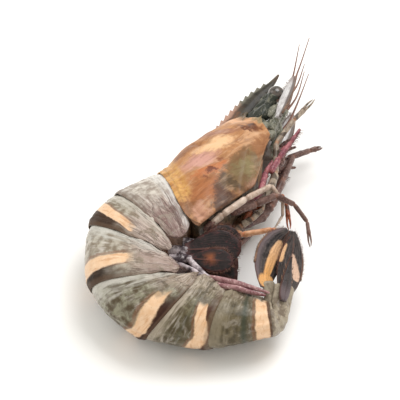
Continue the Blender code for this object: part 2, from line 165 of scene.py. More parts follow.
class Piece:
    """Points, faces, point values and finishes of one piece while it is put together."""

    def __init__(self, name, slot, node):
        self.name = name
        self.slot = slot
        self.replaced = node
        self.points = []
        self.faces = []
        self.paints = []
        self.values = []
        self.materials = []
        self.count = 0

    def add(self, points, faces, material, **values):
        """Take in one closed skin with its own finish and its point values."""
        if material not in self.materials:
            self.materials.append(material)
        points = np.asarray(points, float).reshape(-1, 3)
        self.points.append(points)
        self.faces += [[i + self.count for i in face] for face in faces]
        self.paints += [self.materials.index(material)] * len(faces)
        self.values.append({key: np.ravel(row) for key, row in values.items()})
        self.count += len(points)

    def add_rows(self, rows, material, shell=False, **values):
        """Take in a skin through rings of equal count, closed at both ends; a shell's flank flaps
        are closed by themselves, and its underside rests softly on the table."""
        rows = np.asarray(rows, float)
        count, around = rows.shape[:2]
        core, cap = (SHELL_CORE, shell_cap) if shell else (slice(None), plain_cap)
        points = np.vstack((rows.reshape(-1, 3), rows[0][core].mean(0), rows[-1][core].mean(0)))
        if shell:
            points[:, 2] = 0.5 * (points[:, 2] + np.sqrt(points[:, 2] ** 2 + TABLE_SOFTNESS))
        end = count * around
        faces = grid_faces(count, around) + cap(0, around, end) + cap(end - around, around, end + 1)
        full = {}
        for key, value in values.items():
            value = np.broadcast_to(np.asarray(value, float), (count, around))
            full[key] = np.concatenate((value.ravel(), (value[0].mean(), value[-1].mean())))
        self.add(points, faces, material, **full)

    def make(self):
        """Turn what was taken in into a mesh object that rides on the body."""
        mesh = bpy.data.meshes.new(self.name)
        points = (np.vstack(self.points) + PLAN_SHIFT) * MM
        mesh.from_pydata(points.tolist(), [], self.faces)
        mesh.polygons.foreach_set("material_index", self.paints)
        mesh.polygons.foreach_set("use_smooth", [True] * len(mesh.polygons))
        for key in sorted({key for part in self.values for key in part}):
            rows = [part.get(key, np.zeros(len(p))) for part, p in zip(self.values, self.points)]
            layer = mesh.attributes.new(key, "FLOAT", "POINT")
            layer.data.foreach_set("value", np.concatenate(rows).astype(np.float32))
        for material in self.materials:
            mesh.materials.append(material)
        work = bmesh.new()
        work.from_mesh(mesh)
        bmesh.ops.recalc_face_normals(work, faces=work.faces)
        work.to_mesh(mesh)
        work.free()
        item = show(self.name, mesh)
        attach(item, "root")
        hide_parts(self.replaced)


class Axes:
    """A place with its own three directions, in plan millimetres."""

    def __init__(self, origin, *directions):
        self.origin = np.array(origin, float)
        self.turn = np.array(directions, float)

    def place(self, points, side=1):
        """Plan place of points given along the three directions, on the right or left side."""
        return self.origin + np.asarray(points, float) * (1, 1, side) @ self.turn

    def way(self, direction):
        """Plan direction of a direction given along the three."""
        return np.asarray(direction, float) @ self.turn


# ---- finishes

SKIN_SHARE = 0.86               # how much of a tone is the skin's own, the rest being gloss


def colour(red, green, blue, share=SKIN_SHARE):
    """Linear colour from display values of 0 to 255."""
    def linear(c):
        c = c / 255
        return share * (c / 12.92 if c <= 0.04045 else ((c + 0.055) / 1.055) ** 2.4)
    return (linear(red), linear(green), linear(blue), 1)


def operator(name, swapped=False):
    """Sum of two values as a method."""
    def method(self, other):
        return self.sum(name, *((other, self) if swapped else (self, other)))
    return method


class Value:
    """A shader socket that can be used in sums."""

    def __init__(self, finish, socket):
        self.finish = finish
        self.socket = socket

    def sum(self, operation, *terms):
        return self.finish.node("ShaderNodeMath", {"operation": operation}, dict(enumerate(terms)))

    def __abs__(self):
        return self.sum("ABSOLUTE", self)

    __add__ = __radd__ = operator("ADD")
    __sub__ = operator("SUBTRACT")
    __rsub__ = operator("SUBTRACT", True)
    __mul__ = __rmul__ = operator("MULTIPLY")
    __truediv__ = operator("DIVIDE")
    __pow__ = operator("POWER")


class Finish:
    """One procedural material; its methods add nodes and hand back their values."""

    def __init__(self, name, ground=None, **constants):
        self.material = bpy.data.materials.new(name)
        self.material.use_nodes = True
        self.tree = self.material.node_tree
        self.shader = self.tree.nodes["Principled BSDF"]
        for key, value in constants.items():
            self.shader.inputs[key.replace("_", " ")].default_value = value
        self.place = self.node("ShaderNodeTexCoord", output="Object")
        self.paint = ground

    def node(self, kind, settings=None, inputs=None, output=0):
        """Add a node: its settings first, then the values or links of its sockets."""
        made = self.tree.nodes.new(kind)
        for key, value in (settings or {}).items():
            setattr(made, key, value)
        for key, value in (inputs or {}).items():
            self.put(made.inputs[key], value)
        return Value(self, made.outputs[output])

    def put(self, socket, value):
        """Link a value to a socket, or set the socket; three display values make a colour."""
        if isinstance(value, Value):
            self.tree.links.new(value.socket, socket)
        else:
            socket.default_value = colour(*value) if np.size(value) == 3 else value

    def read(self, name):
        """A point value of the mesh."""
        return self.node("ShaderNodeAttribute", {"attribute_name": name}, output="Fac")

    def noise(self, place, scale, detail, rough, twist):
        """Noise from 0 to 1 over a place."""
        if isinstance(place, tuple):
            place = self.node("ShaderNodeCombineXYZ", None, dict(enumerate(place)))
        return self.node("ShaderNodeTexNoise", None, {
            "Vector": place, "Scale": scale, "Detail": detail, "Roughness": rough, "Distortion": twist})

    def grain(self, size, detail=4, rough=0.6, twist=0):
        """Noise with lumps of a size in millimetres."""
        return self.noise(self.place, 1 / (size * MM), detail, rough, twist)

    def cells(self, size):
        """Distance from the nearest of scattered seeds, in spacings of a size in millimetres."""
        return self.node("ShaderNodeTexVoronoi", None, {
            "Vector": self.place, "Scale": 1 / (size * MM)}, "Distance")

    def sine(self, value):
        return self.node("ShaderNodeMath", {"operation": "SINE"}, {0: value})

    def step(self, value, low, high):
        """0 at low and 1 at high, smooth between; low may be the larger."""
        return self.node("ShaderNodeMapRange", {"interpolation_type": "SMOOTHSTEP"},
                         {0: value, 1: low, 2: high})

    def ridge(self, value, centre, width):
        """1 at the centre and 0 beyond the width, smooth between."""
        return self.step(abs(value - centre), width, 0)

    def mix(self, share, first, second):
        """Colour part of the way from the first to the second."""
        return self.node("ShaderNodeMix", {"data_type": "RGBA"},
                         {0: share, 6: first, 7: second}, output=2)

    def coat(self, *coats):
        """Lay coats over the paint so far, each with its share and its tone."""
        for share, tone in coats:
            self.paint = self.mix(share, self.paint, tone)

    def close(self, relief, depth, by, low=0.28, rise=0.2, strength=0.8, **values):
        """Feed the shader: the paint, a relief of some depth, and a roughness that follows a grain."""
        values["Base_Color"] = self.paint
        values["Roughness"] = low + rise * self.step(by, 0.3, 0.7) if by else low
        values["Normal"] = self.node("ShaderNodeBump", None, {
            "Strength": strength, "Distance": depth * MM, "Height": relief})
        for key, value in values.items():
            self.put(self.shader.inputs[key.replace("_", " ")], value)
        return self.material


# ---- layout, as in the solids

Joint = namedtuple("Joint", "x y bearing roll height back side flank belly lean")
TAIL_JOINTS = [
    Joint(-0.1, 11.1, 108, 0, 13.2, 21.6, 12.8, 11.5, 5, 0),
    Joint(-7.6, 5.1, 125, 0, 12.9, 22.4, 12.8, 12, 5.2, 0.2),
    Joint(-11, 0.4, 145.5, 0, 12.6, 21.4, 12.6, 11.8, 5.2, 0.48),
    Joint(-10.1, -13.6, 179, 0, 12.2, 19.8, 12.2, 10.6, 5, 0.48),
    Joint(-3.4, -21.5, 240, 8, 11.2, 15.8, 11, 8.4, 4.4, 0.52),
    Joint(10.4, -27, 248, 18, 10.4, 12.1, 9.4, 6.8, 4.2, 0.05),
    Joint(27, -25.4, 272, 32, 9.5, 9.2, 5.7, 5, 3.9, -0.1),
    Joint(34.2, -25.1, 272, 32, 9.5, 8.8, 5.3, 4.6, 3.7, 0),
]
SKY = np.array((0, 0, 1))
TABLE_SOFTNESS = 0.03           # how softly the shells meet the table, in square millimetres
NECK = 0.93                     # front edge of a ring, tucked under the lip of the ring ahead
NECK_END = 0.34
LOBE_TRIM = 0.25
LOBE_DROP = (0, 0, 0, 0.8, 2.3, 2.6)    # how much further each ring's flanks hang down
LIP_REACH = 0.11                # how far a ring's rear lip lies over the next ring
LIP_THICK = 0.5
RING_ROWS = 56
LIP_ROWS = 9
# How a tail ring's lip turns in: share of its reach and share of its thickness.
LIP_PROFILE = ((0.35, 0), (0.65, 0), (0.9, 0.06), (1, 0.3), (1, 0.7), (0.9, 0.94), (0.5, 1),
               (0.1, 1), (0.02, 1.5))
FLAP_THICK = 1

HEADING = math.radians(47)
HEAD_HEIGHT = 13.2
HEAD = Axes((TAIL_JOINTS[0].x, TAIL_JOINTS[0].y, HEAD_HEIGHT),
            (math.cos(HEADING), math.sin(HEADING), 0),
            (-math.sin(HEADING), math.cos(HEADING), 0),
            SKY)
CARAPACE_BACK = (19.6, 20.8, 20.6, 19.8, 18.8)
CARAPACE_SIDE = (12.6, 13.8, 13.2, 11.2, 8.2)
CARAPACE_FLANK = (10.6, 11.2, 11.2, 10.4, 9)
CARAPACE_SIZES = (CARAPACE_BACK, CARAPACE_SIDE, CARAPACE_FLANK)
CARAPACE_BELLY = 3
REAR_LEAN = 0.555
FRONT_KNEE = (43, 2)

FAN_REARWARD = unit((0.15, 0.9, 0.4))
FAN_RIGHT = np.array((-0.82, -0.2, 0.57))
FAN_RIGHT = unit(FAN_RIGHT - FAN_REARWARD * (FAN_RIGHT @ FAN_REARWARD))
FAN = Axes((30.4, -26, 9.6), FAN_REARWARD, FAN_RIGHT, np.cross(FAN_REARWARD, FAN_RIGHT))


# ---- shell outlines

# Runs of a half outline between its corners: the back arch down to where the flank hangs free, the
# outside of the flank, its inside, and the belly.  Each has its first and last corner, its count of
# points, and how much they crowd towards its end, or towards its start where that is negative.
OUTLINE_RUNS = ((0, 4, 46, 1), (4, 6, 12, 1.5), (6, 9, 12, -1.5), (9, 11, 10, 1))
OUTLINE_STEPS = 14              # steps between two corners, before the points are spread
FLAP_START = 46
FLAP_TIP = 58
FLAP_ROOT = 70
BELLY_MID = 80
AROUND = 2 * BELLY_MID
SHELL_CORE = np.r_[0:FLAP_START + 1, FLAP_ROOT:AROUND - FLAP_ROOT + 1, AROUND - FLAP_START:AROUND]


def shell_outline(back, side, flank, belly, thick=FLAP_THICK):
    """Outline of a shell ring in (height, sideways), from the back round by both flanks."""
    half = [
        (back, 0),
        (0.86 * back, 0.54 * side),
        (0.46 * back, 0.9 * side),
        (0, side),
        (-0.5 * flank, 0.97 * side),
        (-0.9 * flank, 0.87 * side),
        (-flank, 0.8 * side),
        (-0.92 * flank, 0.83 * side - thick),
        (-0.6 * flank, 0.9 * side - thick),
        (-belly, 0.84 * side - thick),
        (-belly - 0.5, 0.45 * side),
        (-belly - 0.9, 0),
    ]
    dense = curve_through(half + [(y, -z) for y, z in half[-2:0:-1]], OUTLINE_STEPS, closed=True)
    parts = []
    for first, last, count, ease in OUTLINE_RUNS:
        way = 1 if ease > 0 else -1
        run = dense[first * OUTLINE_STEPS:last * OUTLINE_STEPS + 1][::way]
        parts.append(evenly(run, count + 1, abs(ease))[::way][:-1])
    right = np.vstack(parts + [dense[last * OUTLINE_STEPS]])
    return np.vstack((right, right[-2:0:-1] * (1, -1)))


def outline_normals(outline):
    """Outward directions of a closed outline."""
    along = np.roll(outline, -1, axis=0) - np.roll(outline, 1, axis=0)
    return unit(np.stack((along[:, 1], -along[:, 0]), axis=1))


# Place round the outline: 0 on the back, 1 at the flank tips, 2 at the belly's middle.
ARC = np.interp(np.arange(BELLY_MID + 1), (0, FLAP_START, FLAP_TIP, FLAP_ROOT, BELLY_MID),
                (0, 0.72, 1, 1.5, 2))
ARC = np.concatenate((ARC, ARC[-2:0:-1]))


def shell_cap(base, around, hub):
    """Faces that close a shell ring: both flank flaps zipped, the rest fanned to a hub."""
    faces = []
    for i in range(FLAP_TIP - FLAP_START):
        a, b = FLAP_START + i, FLAP_START + i + 1
        c, d = FLAP_ROOT - i - 1, FLAP_ROOT - i
        corners = [a, b, c, d] if b != c else [a, b, d]
        faces.append([base + k for k in corners])
        faces.append([base + (around - k) % around for k in corners])
    core = SHELL_CORE.tolist()
    return faces + [[base + a, base + b, hub] for a, b in zip(core, core[1:] + core[:1])]


def lip_thickness(thinning):
    """Thickness of a shell's lip round its outline, thinner on the flanks."""
    return LIP_THICK * (1 - thinning * between(ARC, 0.62, 0.78, 1.45, 1.6))


# ---- tail rings

def joint_axes(joint):
    """Directions of the back, the right side and the rear at a joint."""
    bearing = math.radians(joint.bearing)
    roll = math.radians(joint.roll)
    flat = np.array((math.cos(bearing), math.sin(bearing), 0))
    back = flat * math.cos(roll) + SKY * math.sin(roll)
    right = SKY * math.cos(roll) - flat * math.sin(roll)
    return back, right, np.cross(right, back)


def joint_between(fore, aft, t):
    """Joint sizes part way from one joint to the next."""
    return Joint(*(a + (b - a) * t for a, b in zip(fore, aft)))


def somite_ring(joint, swell, lobe, shift, drop):
    """Ring of a tail shell and its outward directions."""
    flank = (joint.flank + drop) * lobe
    outline = shell_outline(joint.back * swell, joint.side * swell, flank, joint.belly)
    normals = outline_normals(outline)
    back, right, rearward = joint_axes(joint)
    centre = np.array((joint.x, joint.y, joint.height)) + rearward * shift
    leaning = right + rearward * joint.lean
    return centre + outline @ np.array((back, leaning)), normals @ np.array((back, right))


def somite_relief(number, t, ring):
    """Height of the relief on one ring of a tail shell, in millimetres."""
    side = ramp(ARC, 0.34, 0.62) * ramp(ARC, 1.15, 1)
    outside = ramp(ARC, 1.05, 0.95)
    relief = outside * 0.3 * lumps(ring, 9, 2, number)
    relief += outside * (0.07 + 0.3 * side) * lumps(ring, 2.6, 2, 5 + number)
    relief += 0.06 * side * outside * np.sin(22 * t + 9 * lumps(ring, 5, 2, 9 + number))
    folds = np.stack((np.full(AROUND, 4.2 * t), 2.2 * ARC, np.full(AROUND, 3 * number)), axis=1)
    relief -= 0.26 * side * outside * hump(lumps(folds, 1, 2), 0, 0.09)
    relief -= 0.35 * hump(ARC, 0.6 + 0.05 * t, 0.035) * ramp(t, 0.1, 0.4)
    relief += 0.25 * hump(ARC, 0.67 + 0.04 * t, 0.04)
    relief -= outside * 0.16 * hump(t, 0.9, 0.025)
    relief -= outside * 0.22 * hump(t, NECK_END + 0.04 * (1 - ARC), 0.035) * (1 - side)
    if number >= 4:
        relief += 0.55 * hump(ARC, 0, 0.035) * ramp(t, 0.25, 0.6)
        relief -= 0.15 * hump(ARC, 0.075, 0.03) * ramp(t, 0.25, 0.6)
    relief += ramp(ARC, 1.45, 1.6) * 0.35 * math.cos(3 * math.pi * t)
    return relief


def make_tail_shell(number, material):
    """One tail ring: neck, arched shell with hanging flanks, and a thin lip over the next ring."""
    fore, aft, after = TAIL_JOINTS[number - 1:number + 2]
    drop = LOBE_DROP[number - 1]
    rows, along = [], []
    for t in shares(RING_ROWS):
        swell = 1 - (1 - NECK) * (1 - min(t / NECK_END, 1)) ** 2
        lobe = 1 - LOBE_TRIM * abs(2 * t - 1) ** 2.5
        ring, normals = somite_ring(joint_between(fore, aft, t), swell, lobe, 0.3 * (0.5 - t), drop)
        relief = somite_relief(number, t, ring)
        rows.append(ring + normals * relief[:, None])
        along.append(np.full(AROUND, t))
    reach = LIP_REACH * (0.35 + 0.65 * ramp(ARC, 0.9, 0.5))
    reach = reach * (1 - 0.7 * ramp(ARC, 1, 1.5))
    steps = LIP_REACH * shares(LIP_ROWS)
    rings = [somite_ring(joint_between(aft, after, t), 1, 1 - LOBE_TRIM, -0.15, drop) for t in steps]
    spots, ways = np.swapaxes(rings, 0, 1)
    thick = lip_thickness(0.62)
    index = np.arange(AROUND)
    for share, inset in LIP_PROFILE:
        place = reach * share / steps[1]
        low = np.minimum(place.astype(int), len(steps) - 2)
        part = (place - low)[:, None]
        spot, way = (stack[low, index] * (1 - part) + stack[low + 1, index] * part
                     for stack in (spots, ways))
        rows.append(spot + unit(way) * (relief - thick * inset)[:, None])
        along.append(1 + reach * share)
    piece = Piece(f"tail_shell_{number}", "grey_shell", f"tail_segment_{number}")
    piece.add_rows(rows, material, shell=True, along=np.array(along), arc=ARC)
    piece.make()


# ---- limbs, whips, leaves and hairs

def cross_axes(path, guide):
    """Two directions across a path at each of its points, the first one near the guide."""
    along = unit(np.gradient(path, axis=0))
    first = unit(guide - along * (along @ guide)[:, None])
    return first, np.cross(along, first)


def round_rows(path, radii, around, guide, squash=1):
    """Rings of a round or oval rod."""
    first, second = cross_axes(path, np.asarray(guide, float))
    turn = full_turn(around)[None, :, None]
    ring = first[:, None] * np.cos(turn) + second[:, None] * np.sin(turn) * squash
    return path[:, None] + ring * np.asarray(radii, float)[:, None, None]


def lumpy(rows, share, size, seed, fold=0):
    """Rings swollen and shrunk at random round their middles."""
    middle = rows.mean(axis=1, keepdims=True)
    return middle + (rows - middle) * (1 + fold + share * lumps(rows, size, 2, seed))[..., None]


def limb_form(u, pinch):
    """Thickness along a stretch of a limb: pinched at its ends, fullest before the far one."""
    near = 1 - 0.3 * pinch * ramp(u, 0.12, 0)
    far = 1 - 0.3 * pinch * ramp(u, 0.93, 1)
    return near * far * (1 + 0.07 * pinch * hump(u, 0.86, 0.1))


def add_limb(piece, points, radii, material, seed, guide=SKY, squash=0.82, around=16, steps=16,
             pinch=1):
    """A jointed limb whose stretches meet at the given points."""
    joints = np.arange(len(points))
    parts = [np.linspace(0, 1, steps, endpoint=(i == joints[-2])) for i in joints[:-1]]
    stretch = np.concatenate([i + part for i, part in zip(joints, parts)])
    path = sample(points, stretch, joints)
    sizes = np.interp(stretch, joints, radii) * limb_form(np.concatenate(parts), pinch)
    for _ in range(2):
        path[1:-1] = 0.25 * path[:-2] + 0.5 * path[1:-1] + 0.25 * path[2:]
    rows = lumpy(round_rows(path, sizes, around, guide, squash), 0.07, 1.6, seed)
    stretch = stretch[:, None]
    piece.add_rows(rows, material, along=stretch / joints[-1], stretch=stretch,
                   joint=ramp(np.abs(stretch - np.round(stretch)), 0.1, 0))
    return path


def add_whip(piece, corners, thick, thin, material, steps, squash=1, power=1, **values):
    """A smooth tapering rod, as a feeler, a thorn or a claw finger."""
    path = curve_through(corners, steps)
    share = shares(len(path))
    radii = thin + (thick - thin) * (1 - share) ** power
    piece.add_rows(round_rows(path, radii, 10, SKY, squash), material, along=share[:, None], joint=0,
                   **values)


POLE = 0.04                     # angle left open at the poles of a round form, closed by its hubs


def add_blob(piece, centre, radii, material, axes, rough, seed, size=2.5, **values):
    """A lumpy egg-shaped mass."""
    pole = np.linspace(POLE, math.pi - POLE, 22)[:, None]
    turn = full_turn(30)[None, :]
    level = np.sin(pole)
    form = np.stack((np.cos(pole) + 0 * turn, level * np.cos(turn), level * np.sin(turn)), axis=-1)
    form = form * (1 + rough * lumps(form * np.max(radii), size, 2, seed))[..., None]
    piece.add_rows(centre + form * radii @ np.asarray(axes, float), material, **values)


def leaf_rows(start, end, half_width, half_thick, wide, *, root, rib, full, seed, curve=0, cup=0,
              blunt=0.7, rows=54, around=44, wave=0.12, bend=0):
    """Rings of a thin leaf with a rib along its middle, with its place along and across."""
    start, end = np.asarray(start, float), np.asarray(end, float)
    t = shares(rows)[:, None]
    arch = 4 * t * (1 - t)
    lift = np.cross(unit(end - start), wide)
    path = start + (end - start) * t + wide * curve * arch + lift * bend * arch
    swell = np.sin(math.pi * (0.06 + 0.91 * t ** (math.log(0.5) / math.log(full)))) ** blunt
    width = half_width * np.maximum(swell, root * np.maximum(1 - 2.2 * t, 0))
    first, second = cross_axes(path, wide)
    turn = full_turn(around)
    across = np.cos(turn)
    level = np.sign(np.sin(turn)) * np.abs(np.sin(turn)) ** 0.7
    flat = path[:, None] + first[:, None] * (width * across)[..., None]
    ridge = rib * hump(across, 0, 0.11) * np.sign(level) * 0.5
    height = (half_thick * (1 - 0.45 * t) * level + ridge * (1 - 0.6 * t)
              + cup * (width * across) ** 2 + wave * lumps(flat, 4.5, 2, seed))
    return flat + second[:, None] * height[..., None], t + 0 * across, across + 0 * t


def add_hairs(piece, roots, ways, length, material, radius=0.07):
    """A fringe of fine closed hairs that leave the roots along the given ways."""
    count = len(roots)
    ways = unit(ways + 0.25 * DICE.normal(size=(count, 3)))
    size = length * DICE.uniform(0.7, 1.15, count)[:, None]
    sag = unit(ways + 0.35 * DICE.normal(size=(count, 3)))
    first = unit(np.cross(ways, SKY + 0.01))
    turn = full_turn(3)[None, :, None]
    ring = (first[:, None] * np.cos(turn) + np.cross(ways, first)[:, None] * np.sin(turn)) * radius
    tips = roots + (ways * 0.6 + sag * 0.4) * size
    bends = roots + ways * size * 0.55
    points = np.concatenate((roots[:, None] + ring, bends[:, None] + ring * 0.6, tips[:, None]), axis=1)
    faces = []
    for base in range(0, 7 * count, 7):
        faces.append([base, base + 1, base + 2])
        for k in range(3):
            j = (k + 1) % 3
            faces.append([base + k, base + j, base + 3 + j, base + 3 + k])
            faces.append([base + 3 + k, base + 3 + j, base + 6])
    piece.add(points, faces, material, along=np.tile((0, 0, 0, 0.5, 0.5, 0.5, 1), count))


def add_margin_hairs(piece, leaf, material, length, first, count, sides=(0, 1)):
    """Hairs along both edges and round the tip of a leaf made by leaf_rows."""
    rows, t = leaf[0], leaf[1][:, 0]
    middle = rows.mean(axis=1)
    heading = unit(np.gradient(middle, axis=0))
    picks = np.linspace(first, 0.995, count)
    lean = ramp(picks, 0.85, 1)[:, None]
    for side in sides:
        edge = rows[:, side * rows.shape[1] // 2]
        ways = sample(unit(edge - middle) + heading * 0.7, picks, t)
        ways = unit(ways * (1 - 0.6 * lean) + sample(heading, picks, t) * lean)
        add_hairs(piece, sample(edge, picks, t) - ways * 0.15, ways, length, material)


# ---- head shell

def head_rear_edge(height):
    """Forward position of the head shell's rear edge."""
    corner = np.maximum(-height / CARAPACE_FLANK[0], 0)
    return REAR_LEAN * height + 3.5 * corner ** 4 + 0.15


def head_front_line(height):
    """Forward position of the plain front edge."""
    knee_x, knee_y = FRONT_KNEE
    return knee_x + np.where(height > knee_y, 0.45, 1.75) * (height - knee_y)


def head_front_edge(height):
    """Front edge with the eye socket cut into it and the corner below that."""
    return head_front_line(height) - 3.2 * hump(height, 14.8, 2.4) + 0.8 * hump(height, 9.6, 1.1)


# Ridges and grooves of the head shell: height, half width and corners; then its dents: depth,
# place and reach.
HEAD_LINES = (
    (0.75, 1.7, ((4, 6.6), (8, 5.4), (14, 2), (22, -0.4), (33, 0.2), (40, 3))),
    (-0.45, 0.9, ((34, 3), (29, 6.5), (25, 11.5), (22.5, 16.5))),
    (-0.3, 0.8, ((23, 14), (15, 12.6), (7, 11.6))),
    (0.45, 0.8, ((34, 4.5), (40, 7.6), (46.5, 9.8))),
)
HEAD_DENTS = ((0.9, 17.5, 7.5, 8, 4.2), (0.5, 14, -5.5, 7, 3), (0.5, 36, 1.5, 2.2, 1.6))


def carapace_relief(x, y, ring):
    """Height of the relief on one ring of the head shell, in millimetres."""
    spot = np.stack((x, y), axis=-1)
    from_rear = x - head_rear_edge(y)
    from_front = head_front_edge(y) - x
    relief = 0.4 * lumps(ring, 12, 2, 3) + 0.09 * lumps(ring, 2.6, 3, 8)
    for height, width, line in HEAD_LINES:
        relief += height * hump(line_distance(spot, line), 0, width)
    for depth, dent_x, dent_y, reach_x, reach_y in HEAD_DENTS:
        relief -= depth * hump(x, dent_x, reach_x) * hump(y, dent_y, reach_y)
    relief += 0.9 * hump(ARC, 0, 0.03) * ramp(x, 12, 26)
    relief -= 0.45 * hump(ARC, 0.085, 0.028) * ramp(x, 14, 26)
    relief += 0.22 * hump(from_rear, 0.6, 0.7) - 0.3 * hump(from_rear, 2.3, 0.6)
    relief += 0.25 * hump(from_front, 0.5, 0.6) - 0.18 * hump(from_front, 1.6, 0.5)
    relief += 0.2 * hump(ARC, 0.93, 0.03)
    return relief * ramp(ARC, 1.02, 0.92)


# The rims of the head shell: share of the rear lip's reach, or slide of the front rim, and share of
# the thickness.
REAR_RIM = ((0, 1.7), (0.1, 1), (0.5, 1), (0.92, 0.94), (1, 0.7), (1, 0.3), (0.92, 0.06), (0.6, 0),
            (0.3, 0))
FRONT_RIM = ((0.12, 0.15), (0.12, 0.8), (0, 1), (-1.2, 1.1), (-2.6, 1.3))
REAR_LIP = 2.1
CARAPACE_ROWS = 92


def carapace_rows():
    """Rings of the head shell, from its recessed rear to its recessed front, in head axes."""
    thick = lip_thickness(0.55)
    lip = REAR_LIP * (0.4 + 0.6 * ramp(ARC, 0.95, 0.6)) * (1 - 0.6 * ramp(ARC, 1, 1.5))
    rings = [(0, -lip * share, inset, 0.25 * share) for share, inset in REAR_RIM]
    rings += [(t, 0, 0, 0) for t in shares(CARAPACE_ROWS)]
    rings += [(1, slide, inset, 0) for slide, inset in FRONT_RIM]
    rows, heights = [], []
    for t, slide, inset, flare in rings:
        outline = shell_outline(*(blend(sizes, t) for sizes in CARAPACE_SIZES), CARAPACE_BELLY, 0.8)
        y, z = outline.T
        x = head_rear_edge(y) * (1 - t) + head_front_edge(y) * t
        relief = carapace_relief(x, y, np.stack((x, y, z), axis=1))
        skin = outline + outline_normals(outline) * (relief - thick * inset + flare)[:, None]
        rows.append(np.column_stack((x + slide, skin)))
        heights.append(y)
    return np.array(rows), np.array(heights)


ROSTRUM_START = 31
ROSTRUM_TIP = (71, 24.4)
ROSTRUM_ROOT = (14, 19.4)       # lowest and highest point of the blade at its root
TOOTH_PITCH = 2.7
TOOTH_LENGTH = 2.5
TOOTH_START = 4.3
TOOTH_COUNT = 11
TOOTH_HEIGHT = 0.95
UNDER_TOOTH_COUNT = 3


def saw(x, first, count, height):
    """Height of forward teeth along x."""
    out = np.zeros_like(x)
    for i in range(first, first + count):
        u = (x - (ROSTRUM_START + TOOTH_START + i * TOOTH_PITCH)) / TOOTH_LENGTH
        rise = np.clip(u / 0.76, 0, 1) ** 1.4 * np.clip((1 - u) / 0.24, 0, 1) ** 0.8
        out = np.maximum(out, height * rise)
    return out


def rostrum_rows():
    """Rings of the toothed blade, in head axes, with its place along and up."""
    tip_x, tip_y = ROSTRUM_TIP
    low_y, top_y = ROSTRUM_ROOT
    x = np.linspace(ROSTRUM_START, tip_x, 230)[:, None]
    reach = (x - ROSTRUM_START) / (tip_x - ROSTRUM_START)
    top = top_y + (tip_y - top_y) * reach + 1.9 * np.sin(math.pi * reach)
    top = top - 0.7 * hump(reach, 0.86, 0.12)
    low = low_y + (tip_y - 0.2 - low_y) * reach ** 1.3 - 1.1 * hump(reach, 0.9, 0.14)
    waist = 0.5 * (top + low)
    thick = 1.15 * (1 - 0.68 * reach) * (0.3 + 0.7 * ramp(reach, 1, 0.9))
    turn = full_turn(20)
    up, side = np.cos(turn), np.sin(turn)
    height = np.where(up > 0, (top - waist) * up, (waist - low) * up)
    crest = saw(x, 0, TOOTH_COUNT, TOOTH_HEIGHT) * np.clip(up, 0, 1) ** 6
    keel = saw(x, TOOTH_COUNT - UNDER_TOOTH_COUNT, UNDER_TOOTH_COUNT, 0.8 * TOOTH_HEIGHT)
    keel = keel * np.clip(-up, 0, 1) ** 6
    wide = thick * np.sign(side) * np.abs(side) ** 1.3 * (1 + 0.25 * hump(up, 0, 0.2))
    rows = np.stack((x + 0.55 * crest + 0.3 * keel, waist + height + crest - keel, wide), axis=-1)
    return rows, reach, up


def make_carapace(material, rostrum_look):
    """Head shell with its rims, ridges and grooves, its toothed blade and its thorns."""
    piece = Piece("carapace_shell", "amber_shell", "carapace")
    rows, heights = carapace_rows()
    piece.add_rows(HEAD.place(rows), material, shell=True, fore=rows[..., 0], rise=heights, arc=ARC)
    blade, along, up = rostrum_rows()
    piece.add_rows(HEAD.place(blade), rostrum_look, along=along, rise=up)
    flat = rows.reshape(-1, 3)
    for x, y, size in ((35.5, 4.8, 0.7), (46.2, 9.6, 0.6), (41.5, -2.2, 0.7)):
        for side in (1, -1):
            other_side = flat[:, 2] * side < 0
            near = flat[np.argmin(np.hypot(flat[:, 0] - x, flat[:, 1] - y) + 100 * other_side)]
            base = near - (0.8, 0, 0.35 * side)
            tip = near + np.array((2.4, 0.5, 0.5 * side)) * size
            add_whip(piece, HEAD.place((base, 0.5 * (base + tip) + (0, 0, 0.2 * side), tip)),
                     0.55 * size, 0.05, material, steps=5, fore=x, rise=y, arc=0.5)
    piece.make()


# ---- flesh and face

FACE_SECTIONS = ((-4, 5.6, -5.6, 13.6), (-1.5, 6.5, -6.6, 14.4), (0.7, 6.8, -6.8, 14.4),
                 (2.1, 6, -6.2, 13.6), (3.1, 4, -4.4, 11.4))


def egg_ring(low, high, side, around=48, square=0.85):
    """Ring in (height, sideways) between a lowest and a highest point."""
    turn = full_turn(around)
    up, out = (np.sign(wave) * np.abs(wave) ** square for wave in (np.cos(turn), np.sin(turn)))
    return 0.5 * (high + low) + 0.5 * (high - low) * up, side * out


def make_belly(material, socket_look):
    """Flesh between the head shell's flanks, with a socket for every leg."""
    piece = Piece("belly_flesh", "under_flesh", "under_body")
    rows = []
    for t in np.linspace(0.05, 0.94, 40):
        side, flank = blend(CARAPACE_SIDE, t), blend(CARAPACE_FLANK, t)
        y, z = egg_ring(1.9 - flank, -CARAPACE_BELLY - 0.3, 0.5 * side)
        x = head_rear_edge(y) * (1 - t) + head_front_line(y) * t
        rows.append(np.stack((x, y, z), axis=1))
    along = shares(40)[:, None]
    rows = lumpy(np.array(rows), 0.05, 3, 1, 0.05 * np.cos(10 * math.pi * along))
    piece.add_rows(HEAD.place(rows), material, along=along)
    for root, knee, *_ in RIGHT_LEGS + LEFT_LEGS:
        root = np.array(root)
        heading = unit(knee - root)
        side = unit(np.cross(heading, (1, 0, 0.1)))
        axes = HEAD.way((heading, side, np.cross(heading, side)))
        add_blob(piece, HEAD.place(root - heading * 0.6), (2.7, 1.25, 1.45), socket_look, axes,
                 0.16, root[0], 1.6, along=0.5)
    piece.make()


